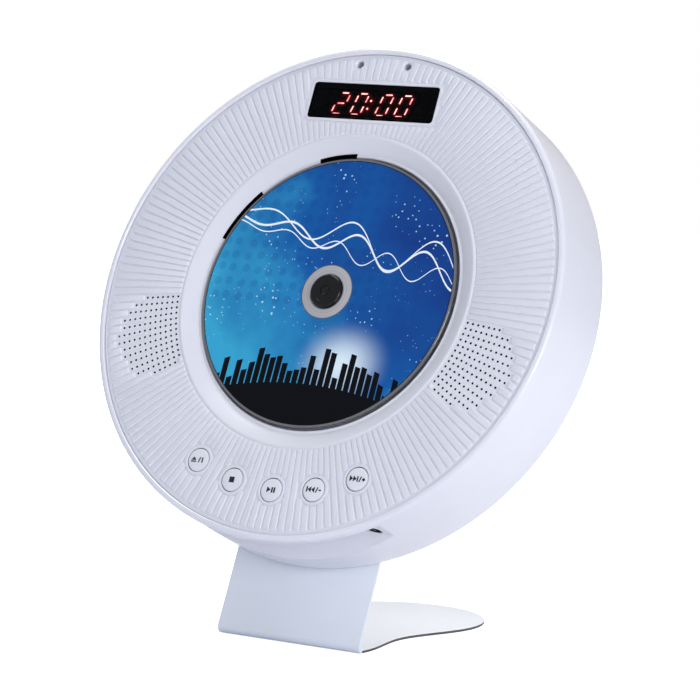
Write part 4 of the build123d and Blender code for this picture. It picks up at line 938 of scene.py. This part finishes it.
# ---- Stand -------------------------------------------------------------------------------------------
class PLAYER_OT_stand(bpy.types.Operator):
    """Bent sheet stand: riser, fold and waisted foot"""
    bl_idname = "player.stand"
    bl_label = "Stand"

    def execute(self, context):
        size = context.scene.player_stand
        low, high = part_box("stand_plate")
        half = size.width / MM / 2
        thick = size.thickness / MM
        foot = size.foot_length / MM
        fold_y = high.y / MM - foot
        rise = 95.0
        corner = 12.0
        bend = 1.5 + thick
        tangent = bend * math.tan((math.pi / 2 + LEAN) / 2)
        centre = (fold_y + tangent, bend)
        # (half width, y, z) of the outer side: down the riser, round the fold, along the foot
        line = []
        for across, down in arc((half - corner, rise - corner), corner, 90, 0, 8):
            line.append((across, fold_y + down * math.sin(LEAN), down * math.cos(LEAN)))
        for along in (70.0, 50.0, 30.0, 15.0):
            line.append((half, fold_y + along * math.sin(LEAN), along * math.cos(LEAN)))
        line += [(half, y, z) for y, z in arc(centre, bend, 180 - math.degrees(LEAN), 270, 12)]
        line += [(width, fold_y + along, 0.0) for along, width in self.foot_widths(half, foot)]
        bm = bmesh.new()
        verts = [bm.verts.new((-w, y, z)) for w, y, z in line]
        edges = [bm.edges.new(pair) for pair in zip(verts, verts[1:])]
        made = bmesh.ops.extrude_edge_only(bm, edges=edges)["geom"]
        for vert in made:
            if isinstance(vert, bmesh.types.BMVert):
                vert.co.x = -vert.co.x
        bmesh.ops.recalc_face_normals(bm, faces=bm.faces[:])
        if min(bm.faces, key=lambda face: face.calc_center_median().z).normal.z > 0:
            bmesh.ops.reverse_faces(bm, faces=bm.faces[:])
        bmesh.ops.solidify(bm, geom=bm.faces[:], thickness=thick)
        rim = [e for e in bm.edges if len(e.link_faces) == 2 and e.calc_face_angle(0) > 1.2]
        bmesh.ops.bevel(bm, geom=rim, offset=0.22, segments=3, affect="EDGES", profile=0.5,
                        material=-1)
        # painted shade: the foot's upright edges take the dark edge material, for the shadow along the
        # sheet's edge
        for face in bm.faces:
            middle = face.calc_center_median()
            if abs(face.normal.z) < 0.3 and middle.z < thick and middle.y > fold_y + tangent:
                face.material_index = 1
        piece = seat(bm, "stand_sheet", [finish("powder_painted_steel", size.paint),
                                         finish("painted_shade_sheet_edge")], "case", WORLD_MM, 40)
        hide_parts("stand_plate")
        dress(finish("zinc_plated_steel"), "stand_screws", "housing_screws", "deck_screws",
              "damper_screws")
        return {"FINISHED"}

    def foot_widths(self, half, foot):
        """Half widths of the foot from the fold to its round end."""
        waist, widest = 30.0, 38.5
        widest_at = foot - 42.0
        rows = []
        for i in range(1, 13):
            share = i / 12
            ease = share * share * (3 - 2 * share)
            rows.append((8 + (44 - 8) * share, half + (waist - half) * ease))
        for i in range(1, 15):
            share = i / 14
            ease = share * share * (3 - 2 * share)
            rows.append((44 + (widest_at - 44) * share, waist + (widest - waist) * ease))
        for i in range(1, 25):
            angle = math.radians(90 * i / 24)
            rows.append((widest_at + 42.0 * math.sin(angle), max(widest * math.cos(angle), 0.6)))
        return rows


# ---- Works inside ------------------------------------------------------------------------------------
class PLAYER_OT_works(bpy.types.Operator):
    """Finishes of the drive, boards, speakers and sockets inside"""
    bl_idname = "player.works"
    bl_label = "Works"

    def execute(self, context):
        dress(finish("moulded_deck_abs"), "deck_plate")
        dress(finish("zinc_plated_steel"), "traverse_chassis")
        dress(finish("ground_steel"), "guide_rods")
        dress(finish("sparked_black_abs"), "pickup_sled", "power_jack", "audio_jack")
        dress(finish("coated_lens_glass"), "objective_lens")
        dress(finish("natural_nylon"), "drive_gear", "motor_pinion")
        dress(finish("drawn_steel_can"), "sled_motor", "spindle_motor")
        dress(finish("grommet_rubber"), "damper_grommets")
        dress(self.board_laminate(), "main_board", "jack_board", "display_board", "button_board")
        dress(finish("moulded_epoxy"), "board_components", "tact_switches")
        for side in ("left", "right"):
            dress(finish("zinc_plated_steel"), side + "_speaker_frame")
            dress(finish("pressed_paper"), side + "_speaker_cone")
            dress(finish("sintered_ferrite"), side + "_speaker_magnet")
        return {"FINISHED"}

    def board_laminate(self):
        # glass epoxy laminate under green solder mask, with copper tracks that show through
        material, tree, shader, place = start("masked_glass_epoxy")
        tracks = add(tree, "ShaderNodeTexBrick", {"offset": 0.5},
                     {"Vector": place, "Scale": 1000 / 9, "Mortar Size": 0.03,
                      "Color1": srgb("#1D5A33"), "Color2": srgb("#174E2C"),
                      "Mortar": srgb("#2F7A45")})
        tree.links.new(tracks.outputs[0], shader.inputs["Base Color"])
        weave = add(tree, "ShaderNodeTexNoise", inputs={"Vector": place, "Scale": 1000 / 0.6,
                                                         "Detail": 2.0})
        gloss = add(tree, "ShaderNodeMapRange", inputs={0: weave.outputs[0], 1: 0.3, 2: 0.7, 3: 0.3,
                                                         4: 0.45})
        tree.links.new(gloss.outputs[0], shader.inputs["Roughness"])
        return material


# ---- Studio ------------------------------------------------------------------------------------------
class PLAYER_OT_studio(bpy.types.Operator):
    """Camera, lamps, pale floor and white surroundings"""
    bl_idname = "player.studio"
    bl_label = "Studio"

    def execute(self, context):
        size = context.scene.player_studio
        scene = context.scene
        scene.view_settings.view_transform = "Standard"
        camera = bpy.data.cameras.new("camera")
        camera.lens = size.lens
        camera.sensor_width = 36.0
        camera.clip_end = 100.0
        view = bpy.data.objects.new("camera", camera)
        view.location = (0.72095, -1.20674, 0.23784)
        view.rotation_euler = [math.radians(a) for a in (85.2088, -2.7313, 31.3542)]
        scene.collection.objects.link(view)
        scene.camera = view
        self.lamp("key", size.key_power, 0.7, (1.7, -0.9, 0.5), "#F7F8FD")
        self.lamp("top", size.top_power, 0.8, (-0.2, 0.25, 1.9), "#FAFBFF")
        self.lamp("back", size.back_power, 0.8, (-0.5, 0.9, 1.6), "#FFF0DE")
        self.surroundings(scene, size)
        bm = bmesh.new()
        bmesh.ops.create_circle(bm, cap_ends=True, segments=96, radius=4.0)
        bmesh.ops.translate(bm, verts=bm.verts[:], vec=(0, 0, -0.0002))
        floor = seat(bm, "studio_floor", [self.paper_floor()], None, Matrix.Identity(4))
        return {"FINISHED"}

    def lamp(self, name, power, width, place, tint):
        light = bpy.data.lights.new(name, "AREA")
        light.energy = power
        light.color = srgb(tint)[:3]
        light.size = width
        lamp = bpy.data.objects.new(name, light)
        lamp.location = place
        aim = Vector((0, -0.02, 0.12)) - Vector(place)
        lamp.rotation_euler = aim.to_track_quat("-Z", "Y").to_euler()
        bpy.context.scene.collection.objects.link(lamp)

    def surroundings(self, scene, size):
        """White to the camera and through glass; otherwise light, most from the right and the front."""
        world = bpy.data.worlds.new("surroundings")
        world.use_nodes = True
        scene.world = world
        tree = world.node_tree
        tree.nodes.clear()
        ray = add(tree, "ShaderNodeLightPath")
        seen = add(tree, "ShaderNodeMath", {"operation": "MAXIMUM"},
                   {0: ray.outputs["Is Camera Ray"], 1: ray.outputs["Is Transmission Ray"]})
        towards = add(tree, "ShaderNodeTexCoord").outputs["Generated"]
        lit = add(tree, "ShaderNodeMapping", {"vector_type": "POINT"},
                  {0: towards, 3: (0.16 / size.sky, -0.32 / size.sky, 0.0)})
        side = add(tree, "ShaderNodeSeparateXYZ", inputs={0: lit.outputs[0]})
        right = add(tree, "ShaderNodeMath", {"operation": "MAXIMUM"}, {0: side.outputs[0], 1: 0.0})
        front = add(tree, "ShaderNodeMath", {"operation": "MAXIMUM"}, {0: side.outputs[1], 1: 0.0})
        both = add(tree, "ShaderNodeMath", inputs={0: right.outputs[0], 1: front.outputs[0]})
        level = add(tree, "ShaderNodeMath", {"operation": "MULTIPLY_ADD"},
                    {0: both.outputs[0], 1: size.sky, 2: size.sky})
        even = add(tree, "ShaderNodeBackground", inputs={0: srgb("#EDF0FA"), 1: level.outputs[0]})
        white = add(tree, "ShaderNodeBackground", inputs={0: srgb("#FFFFFF"), 1: 1.0})
        mix = add(tree, "ShaderNodeMixShader", inputs={0: seen.outputs[0], 1: even.outputs[0],
                                                       2: white.outputs[0]})
        add(tree, "ShaderNodeOutputWorld", inputs={0: mix.outputs[0]})

    def paper_floor(self):
        # matt white background paper, lifted to white for the camera where no shadow lies
        material, tree, shader, place = start("background_paper")
        fibre = add(tree, "ShaderNodeTexNoise", inputs={"Vector": place, "Scale": 400.0,
                                                         "Detail": 3.0})
        tint = ramp(tree, fibre.outputs[0], [(0.3, srgb("#DEE2EB")), (0.7, srgb("#E2E6EE"))])
        tree.links.new(tint, shader.inputs["Base Color"])
        shader.inputs["Roughness"].default_value = 0.9
        ray = add(tree, "ShaderNodeLightPath")
        lift = add(tree, "ShaderNodeMath", {"operation": "MULTIPLY"},
                   {0: ray.outputs["Is Camera Ray"], 1: 0.78})
        tree.links.new(lift.outputs[0], shader.inputs["Emission Strength"])
        shader.inputs["Emission Color"].default_value = srgb("#FFFFFF")
        return material


# ---- Panel and registration --------------------------------------------------------------------------
OPERATORS = (PLAYER_OT_studio, PLAYER_OT_drum, PLAYER_OT_face, PLAYER_OT_display, PLAYER_OT_buttons,
             PLAYER_OT_disc, PLAYER_OT_turntable, PLAYER_OT_stand, PLAYER_OT_works)
SETTINGS = {"player_shell": ShellSettings, "player_face": FaceSettings,
            "player_display": DisplaySettings, "player_disc": DiscSettings,
            "player_stand": StandSettings, "player_studio": StudioSettings}


class PLAYER_PT_panel(bpy.types.Panel):
    """Sizes, colours and steps of the disc player"""
    bl_idname = "PLAYER_PT_panel"
    bl_label = "Disc player"
    bl_space_type = "VIEW_3D"
    bl_region_type = "UI"
    bl_category = "Disc player"

    def draw(self, context):
        for operator in OPERATORS:
            self.layout.operator(operator.bl_idname)
        for name, group in SETTINGS.items():
            box = self.layout.box()
            for key in group.__annotations__:
                box.prop(getattr(context.scene, name), key)


def register():
    for item in (*SETTINGS.values(), *OPERATORS, PLAYER_PT_panel):
        bpy.utils.register_class(item)
    for name, group in SETTINGS.items():
        setattr(bpy.types.Scene, name, bpy.props.PointerProperty(type=group))


def unregister():
    for name in SETTINGS:
        delattr(bpy.types.Scene, name)
    for item in (PLAYER_PT_panel, *reversed(OPERATORS), *SETTINGS.values()):
        bpy.utils.unregister_class(item)


def main():
    register()
    bpy.ops.player.studio()
    bpy.ops.player.drum()
    bpy.ops.player.face()
    bpy.ops.player.display()
    bpy.ops.player.buttons()
    bpy.ops.player.disc()
    bpy.ops.player.turntable()
    bpy.ops.player.stand()
    bpy.ops.player.works()


if __name__ == "__main__":
    main()
